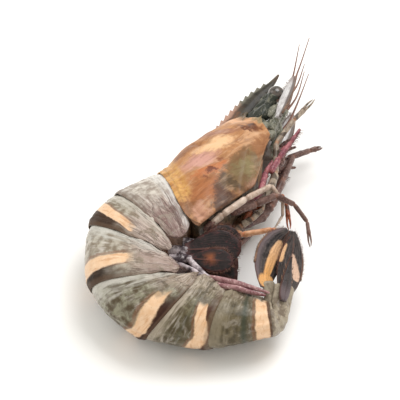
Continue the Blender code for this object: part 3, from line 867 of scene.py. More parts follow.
# Lumps of the face: place, radii and which of its three finishes they wear.
FACE_LUMPS = (
    ((41.2, -3.6, 3.2), (2.6, 1.7, 1.8), "flesh"),
    ((43.6, -1.4, 2.2), (2.4, 1.5, 1.5), "flesh"),
    ((38.6, -6, 3.6), (2.4, 1.4, 1.5), "flesh"),
    ((44.6, 3.4, 5.2), (2.2, 1.9, 1.8), "brow"),
    ((48.4, 8.4, 3), (3, 1.9, 1.7), "skin"),
    ((51.6, 13, 3.6), (4.4, 2.5, 2.4), "skin"),
    ((49.5, 15.6, 1.6), (5, 2, 1.8), "skin"),
    ((54.5, 10.6, 4.2), (3.4, 1.9, 1.9), "brow"),
    ((56.5, 16.6, 1.4), (5.4, 2.2, 1.3), "skin"),
    ((60.5, 18.4, 1), (4.4, 1.7, 0.9), "skin"),
    ((45.6, 7, 6), (2.2, 1.8, 1.3), "brow"),
)
MOUTH_FEELERS = (((44.6, -1, 3), (49.6, -2.6, 4.6)), ((42.4, -4, 3.6), (47, -5.6, 4.6)))


def make_face(skin, flesh, brow):
    """Blunt face in the head shell's open front, with the mouth parts and the eye sockets."""
    piece = Piece("face_mass", "under_flesh", "face")
    looks = {"skin": skin, "flesh": flesh, "brow": brow}
    rows = []
    for depth, side, low, high in sample(FACE_SECTIONS, shares(26)):
        y, z = egg_ring(low, high, side, 56)
        drawn_in = 5 * ramp(y, 6, -3)
        rows.append(np.stack((head_front_line(y) + 0.3 + depth - drawn_in, y, z), axis=1))
    rows = np.array(rows)
    rows[..., 0] += 0.5 * lumps(rows, 3.2, 3, 4)
    piece.add_rows(HEAD.place(rows), skin, rise=rows[..., 1], along=0.5)
    for side in (1, -1):
        for centre, radii, look in FACE_LUMPS:
            add_blob(piece, HEAD.place(centre, side), radii, looks[look], HEAD.turn, 0.12,
                     centre[0] + side, rise=centre[1], along=0.5)
        for foot, tip in MOUTH_FEELERS:
            middle = 0.5 * np.add(foot, tip) + (0, 0.7, 0)
            add_limb(piece, HEAD.place((foot, middle, tip), side), (0.9, 0.7, 0.35), flesh,
                     seed=foot[0], around=12, steps=8)
    piece.make()


EYE_FOOT = (52.8, 13, 3.6)
EYE_BALL = (59.4, 14.4, 6.2)
EYE_RADIUS = 2.55
EYE_DEPTH = 2.5
EYE_ROWS = 34


def make_eye(word, side, ball_look, stalk_look):
    """Round eye with a faint waist on its short stalk."""
    piece = Piece(f"eye_ball_{word}", "eye", f"eye_{word}")
    foot, ball = np.array((EYE_FOOT, EYE_BALL)) * (1, 1, side)
    axis = unit(ball - foot)
    across = unit(np.cross(axis, SKY))
    turn = full_turn(40)[:, None]
    spokes = np.cos(turn) * across + np.sin(turn) * np.cross(axis, across)
    rows = []
    for angle in np.linspace(POLE, math.pi - POLE, EYE_ROWS):
        radius = EYE_RADIUS * (1 + 0.05 * math.sin(2 * angle))
        rows.append(ball - axis * EYE_DEPTH * math.cos(angle) + spokes * radius * math.sin(angle))
    piece.add_rows(HEAD.place(rows), ball_look, along=shares(EYE_ROWS)[:, None])
    path = curve_through((foot - axis, foot + axis * 1.2, foot + axis * 3, ball - axis * 1.4), 6)
    along = shares(len(path))
    radii = np.interp(along, (0, 0.45, 0.8, 1), (2.2, 1.6, 1.7, 2.2))
    piece.add_rows(HEAD.place(round_rows(path, radii, 24, SKY)), stalk_look, along=along[:, None],
                   joint=0, rise=14)
    piece.make()


# ---- feelers and blades of the head

def make_antennal_blade(word, side, material, thorn_look, hair_look):
    """Scale beside the feelers: a leaf with a stiff outer edge, a thorn and a fringe."""
    piece = Piece(f"feeler_scale_{word}", "pale_blade", f"antennal_blade_{word}")
    wide = unit(HEAD.way((0, -0.8, 0.5 * side)))
    start, end = HEAD.place(((50.6, 5.6, 7.6), (67, 13.8, 8.6)), side)
    leaf = leaf_rows(start, end, 2.5, 0.5, wide, root=0.6, rib=0.5, cup=-0.02, full=0.52, blunt=0.6,
                     seed=side)
    piece.add_rows(leaf[0], material, along=leaf[1], across=leaf[2])
    edge = leaf[0][[4, 18, 34, 46], 0]
    edge[3] += unit(edge[3] - edge[2]) * 1.4
    add_whip(piece, edge, 0.6, 0.12, thorn_look, steps=8, squash=0.7)
    add_margin_hairs(piece, leaf, hair_look, 2, 0.4, 60, sides=(1,))
    piece.make()


def make_antennule(word, side, stem_look, whip_look):
    """Short upper feeler: a three-part stem with two fine whips."""
    piece = Piece(f"upper_feeler_{word}", "banded_limb", f"antennule_{word}")
    stem = ((50, 9, 2.2), (55, 10.1, 2.4), (59, 11.3, 2.5), (62.5, 12.6, 2.6))
    add_limb(piece, HEAD.place(stem, side), (1.5, 1.35, 1.1, 0.9), stem_look, squash=0.75,
             around=20, seed=side)
    root = (61.8, 12.4, 2.6)
    for line, thick in (((root, (70, 17, 3.4), (82, 25, 5)), 0.5),
                        ((root, (69.5, 14.6, 2.4), (79, 20, 1.6)), 0.42)):
        add_whip(piece, HEAD.place(line, side), thick, 0.12, whip_look, steps=26)
    for x, y, z in ((54, 11.6, 2.4), (58, 12.8, 2.5)):
        line = HEAD.place(((x, y - 0.8, z), (x + 1, y, z), (x + 2.4, y + 0.6, z + 0.2)), side)
        add_whip(piece, line, 0.35, 0.06, stem_look, steps=5)
    piece.make()


def make_antenna(word, side, stem_look, whip_look):
    """Long lower feeler on its stout jointed foot."""
    piece = Piece(f"lower_feeler_{word}", "banded_limb", f"antenna_{word}")
    stem = ((46, 4.8, 5.4), (49.6, 6.2, 5.6), (53.2, 7.6, 5.6), (57.4, 9.6, 5.5))
    add_limb(piece, HEAD.place(stem, side), (1.9, 1.8, 1.5, 1), stem_look, around=22,
             seed=3 + side)
    whip = ((56.8, 9.3, 5.5), (63, 11.6, 6.4), (73, 16.6, 7.2), (84, 22.6, 8))
    add_whip(piece, HEAD.place(whip, side), 0.62, 0.14, whip_look, steps=30, power=1.4)
    piece.make()


MOUTH_LIMB = np.array(((33, -7.6, 4.6), (38.6, -5.8, 5.4), (46, -4.2, 6.2), (52, -2.6, 6.8)))
LEFT_MOUTH_SHARE = 0.55         # the left mouth limb's length as a share of the right one's


def make_maxilliped(word, side, material, hair_look):
    """Foremost limb, folded along the mouth, with a brush of hairs."""
    piece = Piece(f"mouth_limb_{word}", "maroon_limb", f"maxilliped_{word}")
    line = MOUTH_LIMB[0] + (MOUTH_LIMB - MOUTH_LIMB[0]) * (1 if side > 0 else LEFT_MOUTH_SHARE)
    path = add_limb(piece, HEAD.place(line, side), (1.4, 1.3, 1, 0.6), material, squash=0.7,
                    seed=side)
    ways = np.tile(HEAD.way((0.25, -1, 0.3 * side)), (60, 1))
    roots = sample(path, np.linspace(0.3, 0.97, 60)) + unit(ways) * 0.5
    add_hairs(piece, roots, ways, 1.7, hair_look)
    piece.make()


# ---- walking legs

RIGHT_LEGS = (
    ((24, -11.3, 4.6), (28, -12, 3.6), (34.5, -8, 3), (43, -0.7, 5.9), (53.8, 1.5, 7),
     (65.3, 3.3, 6.9)),
    ((19, -11.6, 4.8), (24, -11.4, 5.2), (31.6, -6.6, 4.8), (42.4, -2.8, 3.2), (55.2, 0.7, 1)),
    ((14, -11.8, 4.8), (19.5, -13.6, 4.6), (25.5, -16.8, 6.2), (29, -21.3, 2.7),
     (29, -26.8, -1.2), (25, -32, -6)),
    ((2.4, -10.6, 6.4), (6, -11.7, 8.4), (16, -12.6, 8.9), (26.6, -13.6, 7.6), (27.2, -18, 2.8),
     (26.6, -18.6, -2.2), (21.4, -19.2, -5)),
    ((4.2, -11.6, 4.8), (5.4, -14.2, 3.4), (8.6, -17.7, 1.8), (17.6, -22.4, 0.8), (20.6, -25.4, -0.6)),
)
LEFT_LEGS = (
    ((24, -11.3, -4.6), (28, -12.4, -3.6), (38, -8, -2.4), (48.9, -2.6, -3),
     (55, -4.4, -3.6), (59, -5.9, -4)),
    ((19, -11.6, -4.8), (25, -12.4, -6.2), (38, -6.5, -7.4), (51, 1.6, -7.8), (61, -2.6, -8)),
    ((14, -11.8, -4.8), (24.6, -7.6, -5.4), (33.3, -11.8, -3), (31.9, -15.5, -3.6),
     (26, -22.1, -6)),
    ((9, -11.8, -4.8), (13.9, -12.6, -1.4), (17.3, -14, -0.2), (22.3, -13.8, 0.2),
     (28.4, -10.1, -1.2)),
    ((4.2, -11.6, -4.8), (7.5, -13, -7.2), (14, -12.4, -9.4), (19, -11.6, -10.4),
     (21, -11.4, -10.8)),
)
LEG_RADII = (1.35, 1.3, 1.15, 0.86, 0.72, 0.6)
PINCER_LEGS = (1, 2, 3)
FIRST_LEG_STOUT = 1.25
LEG_HAIRS = 26


def add_pincer(piece, wrist, tip, radius, material):
    """Palm with a fixed and a moving finger, slightly open."""
    heading = unit(tip - wrist)
    reach = np.linalg.norm(tip - wrist)
    side = unit(np.cross(heading, SKY + 0.02))
    palm = wrist + heading * reach * 0.5
    add_limb(piece, (wrist, palm), (radius * 0.95, radius * 1.15), material, around=18, steps=14,
             seed=reach)
    for way, short in ((side * radius, 1), (-side * radius, 0.95)):
        root = palm - heading * radius * 0.4 + way * 0.4
        bow = palm + heading * reach * 0.25 + way * 0.6
        end = wrist + heading * reach * short + way * 0.25
        add_whip(piece, (root, bow, end), radius * 0.62, 0.12, material, steps=9, squash=0.8, power=0.7)


def make_leg(number, word, side, points, material, hair_look):
    """Walking leg; the first three pairs end in small pincers, the others in a plain point."""
    slot = "banded_limb" if number in (1, 4) else "maroon_limb"
    piece = Piece(f"walking_leg_{number}_{word}", slot, f"leg_{number}_{word}")
    line = HEAD.place(points)
    stout = FIRST_LEG_STOUT if number == 1 else 1
    radii = [radius * stout for radius in LEG_RADII[:len(points) - 1]] + [0.22]
    if number in PINCER_LEGS:
        path = add_limb(piece, line[:-1], radii[:-1], material, seed=number + side)
        add_pincer(piece, line[-2], line[-1], radii[-2], material)
    else:
        path = add_limb(piece, line, radii, material, seed=number + side)
    roots = sample(path, DICE.uniform(0.25, 0.98, LEG_HAIRS))
    ways = unit(DICE.normal(size=(LEG_HAIRS, 3)))
    add_hairs(piece, roots + ways * 0.35, ways, 0.9, hair_look, radius=0.05)
    piece.make()


# ---- swimmerets

# Root, end, half width and sag of each.
RIGHT_SWIMMERETS = (
    ((0.2, 0.4, 16.6), (18.4, 2.2, 16.4), 4.6, 0.8),
    ((-4.4, -3.2, 16.6), (18.4, -2.6, 17.4), 5.2, 0),
    ((-4, -7.4, 17), (16, -9.4, 18), 4.6, -0.6),
    (),
    (),
)
LEFT_SWIMMERETS = (
    ((0.2, 0.4, 7.6), (17.6, 0.2, 7.4), 4.8, 0.8),
    ((-4.4, -3.2, 7.6), (17.4, -5.2, 7.2), 5, 0),
    ((-4, -8.6, 7.6), (16, -9.8, 7), 4.4, -0.6),
    ((-0.6, -14.2, 7.2), (15, -15, 6.4), 3.2, -1.4),
    ((6.2, -19, 6.4), (21, -18.8, 5.6), 1.4, -1.6),
)
PADDLE_TILT = math.radians(38)
PADDLE_WIDE = np.array((0, math.cos(PADDLE_TILT), math.sin(PADDLE_TILT)))
PADDLE_TRIM = (1.08, 1.1, 0.8, 0.5, 1)
STEM_SHARE = (0.3, 0.28, 0.36, 0.46, 0.4)
# The last two right swimming limbs are pairs of rods.
RODS = {
    4: (((-2, -1.6, 15.6), (2.4, -8.6, 18), (7.2, -15.2, 17.8), (9.6, -16.6, 17.6)),
        ((-2.4, -7.4, 15.6), (3.6, -13.6, 18.2), (9.4, -17.8, 17.6))),
    5: (((6.4, -14.8, 16.8), (11.5, -17, 18), (17, -18.2, 17.6), (22.5, -19.8, 16.8),
         (27.2, -20.7, 15.6)),
        ((5.2, -17.8, 16.2), (11, -19, 17.4), (17, -19.9, 17), (22, -21.1, 16.2),
         (26, -21.5, 15.4))),
}
ROD_RADII = (1, 1.05, 1, 0.8)
ROD_TIP = 0.4


def add_paddle(piece, leaf, material, hair_look, length, first, count, **values):
    """A paddle made by leaf_rows with its fringe."""
    piece.add_rows(leaf[0], material, along=leaf[1], across=leaf[2], **values)
    add_margin_hairs(piece, leaf, hair_look, length, first, count)


def make_swimmeret(number, word, row, stem_look, paddle_look, hair_look):
    """Swimming limb: two rods, or a stout pale stem that carries a broad and a narrow paddle."""
    piece = Piece(f"swimming_limb_{number}_{word}", "dark_paddle", f"swimmeret_{number}_{word}")
    if not row:
        for k, points in enumerate(RODS[number]):
            add_limb(piece, points, ROD_RADII[:len(points) - 1] + (ROD_TIP,), stem_look,
                     squash=0.85, around=20, pinch=0.2, seed=number + 3 * k)
        piece.make()
        return
    start, end = np.array(row[:2])
    half_width = row[2] * PADDLE_TRIM[number - 1]
    sag = row[3]
    heading = unit(end - start)
    dip = np.array((0, -sag, 0))
    hip = start + (end - start) * STEM_SHARE[number - 1] + dip * 0.9
    add_limb(piece, (start, 0.5 * (start + hip) + dip * 0.3, hip), (1.7, 1.6, 1.15), stem_look,
             guide=PADDLE_WIDE, squash=0.75, around=20, seed=number, pinch=0.3)
    root = hip - heading
    broad = leaf_rows(root, end, half_width, 0.55, PADDLE_WIDE, curve=-0.1 * sag, root=0.3, rib=0.5,
                      full=0.62, blunt=0.62, seed=number, wave=0.2, bend=0.6)
    fleck = 1 if (number, word) == (3, "right") else 0
    add_paddle(piece, broad, paddle_look, hair_look, 1.5, 0.35, 64, fleck=fleck)
    if half_width > 2:
        facing = np.cross(heading, PADDLE_WIDE)
        tip = root + (end - root) * 0.74 - PADDLE_WIDE * half_width * 0.42 - facing * 1.1
        narrow = leaf_rows(root - facing * 0.8, tip, half_width * 0.42, 0.5, PADDLE_WIDE, root=0.5,
                           rib=0.4, full=0.55, seed=number + 7)
        add_paddle(piece, narrow, paddle_look, hair_look, 1.1, 0.4, 40)
    piece.make()


# ---- tail fan

# Foot, start, end, half width, half thickness, width at the root and curve of each blade.
FAN_BLADES = (
    ("telson", (0, 1, 2.2), (5, 1.6, 2.4), (20, 0.8, 2), 1.9, 0.9, 0.5, 0),
    ("inner_tail_blade_right", (3, 1.9, 0), (8.4, 1.8, 0.2), (27, 0.6, 0.3), 2.1, 0.4, 0.3, 0.2),
    ("inner_tail_blade_left", (1, -1, -0.7), (9.4, -2, -0.5), (29.4, 0.2, -0.5), 4, 0.4, 0.4,
     -1.1),
    ("outer_tail_blade_right", (3.8, 2.6, -1.8), (8.8, 6, -1.8), (29.6, 0.8, -1.8), 5.2, 0.4, 0.3,
     2.4),
    ("outer_tail_blade_left", (1.4, -1, -2.4), (9.8, -2.5, -2.6), (30, 0.4, -2.9), 4.9, 0.4, 0.5,
     -2),
)
FAN_PIVOT = np.array((27.7, -22.5, 7.6))


def tail_root_rows():
    """Rings of the bent root of the fan, from inside the last tail ring to the blades."""
    back, right, rearward = joint_axes(TAIL_JOINTS[6])
    first, last = (Matrix(turn).transposed().to_quaternion()
                   for turn in ((rearward, right, back), FAN.turn))
    rows = []
    along = np.linspace(-0.25, 1.7, 44)
    for s in along:
        part = min(max(s, 0), 1)
        axes = np.array(first.slerp(last, part).to_matrix().transposed())
        low, high = -2.6 + 4 * part, blend((12, 8.4, 6.9, 6.6), part)
        shrink = 1 - 0.5 * ramp(s, 1, 1.7)
        y, z = egg_ring(low, high, blend((5.4, 4.8, 4, 3.3), part), 48, 0.9)
        y = 0.5 * (low + high) + (y - 0.5 * (low + high)) * shrink
        flat = np.stack((np.full_like(y, (s - part) * 12), z * shrink, y), axis=1)
        rows.append(FAN_PIVOT + flat @ axes)
    return lumpy(np.array(rows), 0.05, 4, 2), along[:, None]


def blade_marks(name, along, across):
    """Where the pale stripe, the blob at the root and the light edge of a blade lie."""
    stripe = blob = edge = np.zeros_like(along)
    if name == "telson":
        edge = ramp(along, 0.5, 0.12)
    elif name == "outer_tail_blade_right":
        centre = -0.18 * ramp(along, 0, 0.45)
        stripe = hump(across, centre, 0.36) * between(along, 0.14, 0.22, 0.76, 0.88)
        fork = hump(across, centre - 0.9 * (along - 0.4), 0.26)
        stripe = np.maximum(stripe, fork * between(along, 0.4, 0.5, 0.72, 0.86))
        blob = hump(along, 0.09, 0.13) * hump(across, -0.1, 1.2)
        edge = ramp(across, 0.42, 0.9)
    elif name == "inner_tail_blade_left":
        stripe = hump(across, -0.62 + (along - 0.26) * 2.4, 0.52)
        stripe = stripe * between(along, 0.2, 0.28, 0.62, 0.72)
    elif name == "inner_tail_blade_right":
        stripe = hump(across, 0.95, 0.62) * between(along, 0.46, 0.58, 0.78, 0.94)
    return {"stripe": stripe, "blob": blob, "edge": edge}


def make_fan_blade(blade, material, root_look, thorn_look, hair_look):
    """Blade of the tail fan with its rib, its short stalk or thorns, and its fringe."""
    name, foot, start, end, half_width, half_thick, root, curve = blade
    title = name.replace("tail_blade", "fan_blade").replace("telson", "fan_spike")
    piece = Piece(title, "dark_fan", name)
    foot, start, end = FAN.place((foot, start, end))
    wide = FAN.turn[1]
    spike = name == "telson"
    form = (dict(rib=-0.9, full=0.3, blunt=0.95, bend=0) if spike
            else dict(rib=0.6, full=0.55, blunt=0.62, bend=-0.8))
    leaf = leaf_rows(start, end, half_width, half_thick + 0.1, wide, curve=curve, root=root,
                     wave=0.15, seed=half_width, rows=70, around=52, **form)
    rows, along, across = leaf
    pink = 1 if name == "inner_tail_blade_left" else 0
    piece.add_rows(rows, material, along=along, across=across, pink=pink,
                   **blade_marks(name, along, across))
    if spike:
        bent, bent_along = tail_root_rows()
        piece.add_rows(bent, root_look, along=bent_along)
        for k in (30, 40, 50):
            for spot in rows[k, [0, 26]]:
                out = unit(spot - rows[k].mean(0))
                ahead = unit(rows[k + 6].mean(0) - rows[k].mean(0))
                thorn = (spot - out * 0.3, spot + out * 0.3 + ahead * 0.6, spot + out * 0.5 + ahead * 1.5)
                add_whip(piece, thorn, 0.25, 0.05, thorn_look, steps=4)
    else:
        add_limb(piece, (foot, start + unit(end - start) * 2.4), (2.3, 2.1), root_look, guide=wide,
                 squash=0.55, around=22, seed=curve)
    if name.startswith("outer"):
        line = rows[[22, 38, 50, 50], 0 if name.endswith("right") else 26]
        line[3] += unit(line[2] - line[1]) * 1.6
        add_whip(piece, line, 0.55, 0.08, thorn_look, steps=7, squash=0.7)
    add_margin_hairs(piece, leaf, hair_look, 0.7 if spike else 1.1, 0.3, 90)
    piece.make()


# ---- finishes of this prawn

WET = {"Coat_Weight": 0.2, "Coat_Roughness": 0.16, "Coat_IOR": 1.4, "Specular_IOR_Level": 0.18}
# sheen is each ring's share of the painted highlights and glints laid into its colour.
RingLook = namedtuple(
    "RingLook", "dome shade flank front dark low high lean reach after dark_reach green sheen")
RING_LOOKS = [RingLook(*row) for row in (
    ((218, 210, 198), (158, 144, 132), (136, 110, 104), (226, 224, 220), (92, 74, 62),
     0, 0, 0, 0, 0, 0, 0, 1),
    ((184, 176, 160), (126, 112, 92), (192, 172, 162), (200, 194, 182), (56, 34, 18),
     0.53, 0.79, 0.55, 0.54, 1.12, 0.46, 0, 0.8),
    ((192, 184, 168), (138, 124, 106), (172, 150, 140), (208, 206, 198), (44, 28, 16),
     0.67, 0.89, -0.5, 0.46, 1.12, 0.3, 0, 0.9),
    ((150, 146, 124), (86, 72, 50), (174, 156, 140), (212, 208, 198), (54, 25, 14),
     0.72, 0.91, -0.5, 0.4, 1.12, 0.34, 0, 0.4),
    ((124, 116, 90), (80, 68, 44), (156, 142, 124), (188, 174, 156), (74, 40, 26),
     0.73, 0.96, -0.6, 0.37, 1.03, 0.34, 0.3, 0.4),
    ((112, 100, 74), (76, 66, 44), (150, 136, 118), (142, 130, 108), (88, 56, 40),
     0.78, 0.99, 0, 0.52, 1.04, 0.46, 0.9, 0.3),
)]


def tail_ring_finish(number, look):
    """Grey shell with a cream and a dark band over the back and creased, mottled flanks, with painted
    highlights on the back and at each ring's front, and painted shade in the creases and towards its rear
    edge.
    """
    f = Finish(f"tail_ring_{number}_finish", look.dome, **WET)
    along, arc = f.read("along"), f.read("arc")
    wide, mid, fine = f.grain(7, 3, 0.5), f.grain(2.4, 4, 0.5), f.grain(0.7)
    blotch, dots = f.grain(3.8, 5, 0.62, 0.6), f.cells(0.75)
    streak = f.noise((15 * along, 5 * arc, float(number)), 1, 4, 0.6, 0.4)
    fold = f.noise((5.5 * along, 2.6 * arc, 3 * number), 1, 3, 0.55, 0.5)
    place = along + 0.06 * (wide - 0.5) + 0.05 * (mid - 0.5)
    turn = arc + 0.2 * (wide - 0.5) + 0.12 * (mid - 0.5)
    calm = 1 - 0.6 * f.step(arc, 0.36, 0.62)
    side = f.step(arc, 0.38, 0.55) * f.step(arc, 1.1, 0.95)
    # Where the painted highlight lies: pale patches over the back that stand in for wet gloss.
    sheen = f.step(streak, 0.5, 0.36) * f.step(wide, 0.46, 0.6) * f.step(arc, 0.75, 0.45)
    f.coat(
        (f.step(mid, 0.35, 0.65), look.shade),
        (0.6 * f.step(wide, 0.52, 0.66), look.shade),
        (f.step(turn, 0.38, 0.66), look.flank),
        (0.45 * f.step(fine, 0.55, 0.72) * f.step(arc, 0.3, 0.6), (206, 190, 176)),
        (0.4 * calm * f.step(streak, 0.52, 0.68), look.shade),
        # Pale streaks: painted glints, scaled by the ring's share of painted sheen.
        (0.3 * look.sheen * calm * f.step(streak, 0.44, 0.3), (218, 208, 196)),
        (0.75 * f.step(blotch, 0.53, 0.64), look.shade),
        (0.35 * f.step(blotch, 0.47, 0.26), (222, 210, 196)),
        # Pale front of each ring: the shell's own whitish front, partly a painted highlight.
        (0.75 * f.step(place + 0.8 * (streak - 0.5), 0.44, 0.12), look.front),
        (0.55 * f.step(turn, 0.7, 0.95) * f.step(mid, 0.42, 0.6), (158, 130, 126)),
        # Flank creases: a dark line painted as shade in each crease, a painted highlight beside it, then
        # a darker tone beyond.
        (0.42 * side * f.ridge(fold, 0.48, 0.03), (92, 74, 62)),
        (0.36 * side * f.ridge(fold, 0.54, 0.026), (226, 212, 198)),
        (0.4 * side * f.step(fold, 0.56, 0.7), look.shade),
        # Painted highlight over the back.
        (0.6 * sheen * look.sheen, (226, 218, 210)),
        # Painted shade: darker towards the ring's rear edge, before its lip.
        (0.45 * f.step(along + 0.1 * (mid - 0.5), 0.86, 1) * calm, look.dark),
        (look.green * f.ridge(place, 0.6, 0.09), (62, 66, 50)))
    matt = 0
    if look.high > look.low:
        belt = place - look.lean * (arc - 0.25) + 0.03 * (fine - 0.5)
        inside = f.step(turn, look.reach + 0.05, look.reach - 0.04)
        pale = f.step(belt, look.low - 0.015, look.low + 0.02) * inside
        pale = pale * f.step(belt, look.high + 0.02, look.high - 0.015)
        edge = f.ridge(belt, look.low - 0.03, 0.05) + f.ridge(belt, look.high + 0.02, 0.03)
        matt = f.step(belt, look.high - 0.01, look.high + 0.03)
        matt = matt * f.step(place, look.after + 0.03, look.after - 0.03)
        matt = matt * f.step(turn, look.dark_reach + 0.1, look.dark_reach - 0.06)
        dark = f.mix(0.35 * f.step(mid, 0.5, 0.7), look.dark, (84, 58, 42))
        dark = f.mix(0.16 * f.step(streak, 0.46, 0.34), dark, (120, 98, 82))
        cream = f.mix(f.step(mid, 0.3, 0.7), (238, 194, 152), (250, 214, 178))
        cream = f.mix(0.6 * f.step(streak, 0.52, 0.66), cream, (208, 152, 108))
        cream = f.mix(0.4 * f.step(fine, 0.6, 0.75), cream, (206, 156, 112))
        f.coat((0.5 * f.step(edge, 0, 1) * inside, (140, 92, 62)),
               (0.97 * matt, dark),
               (0.96 * pale, cream))
    f.coat(
        (0.45 * f.step(along, 1.02, 1.07) * f.step(arc, 0.9, 0.6), (108, 84, 66)),
        (0.4 * f.step(dots, 0.2, 0.08) * f.step(fine, 0.35, 0.6), (74, 62, 50)),
        (0.85 * f.step(arc, 1.12, 1.3), (196, 160, 140)))
    relief = 0.6 * fine + 0.6 * mid + 0.25 * dots + 0.4 * calm * streak + 0.5 * blotch
    return f.close(relief - 0.9 * side * f.ridge(fold, 0.48, 0.04), 0.2, mid, 0.26 + 0.26 * matt, 0.22,
                   0.9, Coat_Weight=0.2 - 0.17 * matt)


def patch(finish, fore, rise, x, y, reach_x, reach_y, turn):
    """Soft-edged blotch round a place on the head shell, turned by some degrees."""
    c, s = math.cos(math.radians(turn)), math.sin(math.radians(turn))
    ahead = ((fore - x) * c + (rise - y) * s) / reach_x
    over = ((rise - y) * c - (fore - x) * s) / reach_y
    return finish.step(ahead ** 2 + over ** 2, 2.1, 0.1)


# Place, reach and turn of each blotch, and its share and tone; the cream patch high on the back is partly
# a painted highlight, and the dark brown ones low on the flank are partly painted shade.
HEAD_BLOTCHES = (
    (7.4, -3.2, 5.6, 4.4, 0, 0.9, (172, 106, 62)),
    # Cream patch high on the back: partly a painted highlight.
    (25.5, 9.4, 6, 3, -20, 0.9, (246, 202, 156)),
    (16.8, 7.2, 6, 3.1, -12, 0.95, (210, 158, 144)),
    (14, 1.6, 6.5, 1.5, -14, 0.9, (196, 120, 74)),
    # Dark brown low on the flank, here and in the next row: partly painted shade along the lower edge.
    (11.6, -7, 7, 2.4, 42, 0.9, (76, 48, 36)),
    (8, -10.6, 5, 1.5, 10, 0.85, (84, 60, 48)),
    (21, -5, 7.6, 3.6, 6, 0.8, (116, 96, 64)),
    (26, -2.4, 6, 2.2, 16, 0.75, (136, 122, 84)),
    (16.4, -5.8, 1.6, 4, 24, 0.7, (72, 56, 40)),
    (25.6, -5.4, 3.4, 1.6, 40, 0.6, (150, 138, 98)),
    (28, 0.6, 6.5, 1.2, 14, 0.8, (120, 88, 54)),
    (35, 3.6, 5, 2, 20, 0.8, (218, 170, 130)),
    (24.6, -9.4, 3.6, 1.8, 0, 0.8, (176, 134, 112)),
    (31.6, -4.4, 3, 2.6, 0, 0.8, (142, 126, 102)),
    (36.6, -0.6, 4.6, 2.6, 14, 0.8, (160, 108, 70)),
    (42.8, 15, 5, 2.4, -30, 0.75, (240, 188, 148)),
    (32, 13.4, 6, 2, -40, 0.8, (158, 104, 80)),
    (46.6, 9.6, 1.8, 3, 0, 0.8, (136, 132, 104)),
    (17.5, 16.2, 5.5, 2, 0, 0.75, (132, 84, 56)),
    (0.2, -8.6, 3, 2.4, 40, 0.8, (206, 154, 128)),
    (38.2, 8.8, 0.9, 2.4, 0, 0.9, (104, 60, 38)),
    (40.6, 7.4, 2.7, 2.4, 0, 0.95, (104, 48, 10)),
    (41, 8.2, 1.2, 1.2, 0, 0.9, (78, 44, 26)),
    (14.9, 1.1, 1.2, 0.7, 0, 0.9, (110, 54, 34)),
    (11.4, -0.4, 1, 0.6, 0, 0.8, (124, 66, 40)),
    (20.4, 2.6, 1.1, 0.7, 0, 0.8, (138, 76, 46)),
)


def head_shell_finish():
    """Orange and golden shell with pink, cream, olive and brown blotches, dark towards the eyes; painted
    shade darkens its lower flank and the seam at its rear edge, and a painted highlight lightens the
    cream patch on its back.
    """
    f = Finish("head_shell_finish", **(WET | {"Coat_Weight": 0.14}))
    arc, ahead, up = f.read("arc"), f.read("fore"), f.read("rise")
    wide, mid, fine, dots = f.grain(6, twist=0.4), f.grain(1.9), f.grain(0.6), f.cells(0.6)
    fibre = f.noise((0.13 * ahead, 0.62 * up, 7 * arc), 1, 5, 0.6, 0.5)
    fore = ahead + 6 * (wide - 0.5) + 6 * (mid - 0.5) + 2 * (fine - 0.5)
    rise = up - 5 * (wide - 0.5) + 4.6 * (mid - 0.5) - 1.6 * (fine - 0.5)
    # Darker low and lighter high: partly the shell's own colour, partly painted shade on the lower flank.
    f.paint = f.mix(f.step(rise, -4, 6), (142, 96, 62), (184, 130, 86))
    f.coat((0.5 * f.step(mid, 0.45, 0.7), (210, 156, 108)))
    for *spot, share, tone in HEAD_BLOTCHES:
        f.coat((share * patch(f, fore, rise, *spot), tone))
    from_rear = ahead - REAR_LEAN * up + 2.4 * (mid - 0.5)
    golden = f.mix(f.step(mid, 0.35, 0.65), (192, 136, 76), (224, 174, 102))
    snout = f.step(ahead - 0.25 * up + 4 * (mid - 0.5), 37.5, 42.5)
    crest = f.step(arc + 0.05 * (mid - 0.5), 0.1, 0.03) * f.step(fore, 8, 24)
    f.coat(
        (0.9 * f.step(from_rear, 5.2, 3) * f.step(rise, -2.5, 1.5), golden),
        # Dark line along the rear edge: painted shade at the seam over the first tail ring.
        (0.25 * f.ridge(from_rear, 0, 0.6), (104, 84, 56)),
        (0.26 * f.step(fibre, 0.5, 0.7), (240, 200, 164)),
        (0.4 * f.step(fibre, 0.48, 0.32), (112, 70, 44)),
        (0.9 * snout * f.step(rise, 12.5, 15.5), (56, 60, 46)),
        (0.6 * crest, (112, 88, 66)),
        (0.3 * f.step(dots, 0.24, 0.1) * f.step(fine, 0.35, 0.6), (112, 70, 44)),
        (0.85 * f.step(arc, 1.1, 1.3), (200, 160, 130)))
    return f.close(0.3 * fine + 0.8 * mid + 0.2 * dots, 0.16, mid, 0.36, 0.22)


def mottled_finish(name, ground, second, third, spots=0, spot_tone=None, size=2.2):
    """Wet skin in three tones, with optional small spots."""
    f = Finish(name, ground, **WET)
    wide, fine, dots = f.grain(size, twist=0.3), f.grain(0.28 * size), f.cells(0.32 * size)
    f.coat((f.step(wide, 0.36, 0.6), second), (0.8 * f.step(fine, 0.52, 0.7), third))
    if spots:
        f.coat((spots * f.step(dots, 0.24, 0.1), spot_tone))
    return f.close(0.6 * fine + 0.6 * wide + 0.3 * dots, 0.14, wide, rise=0.26)


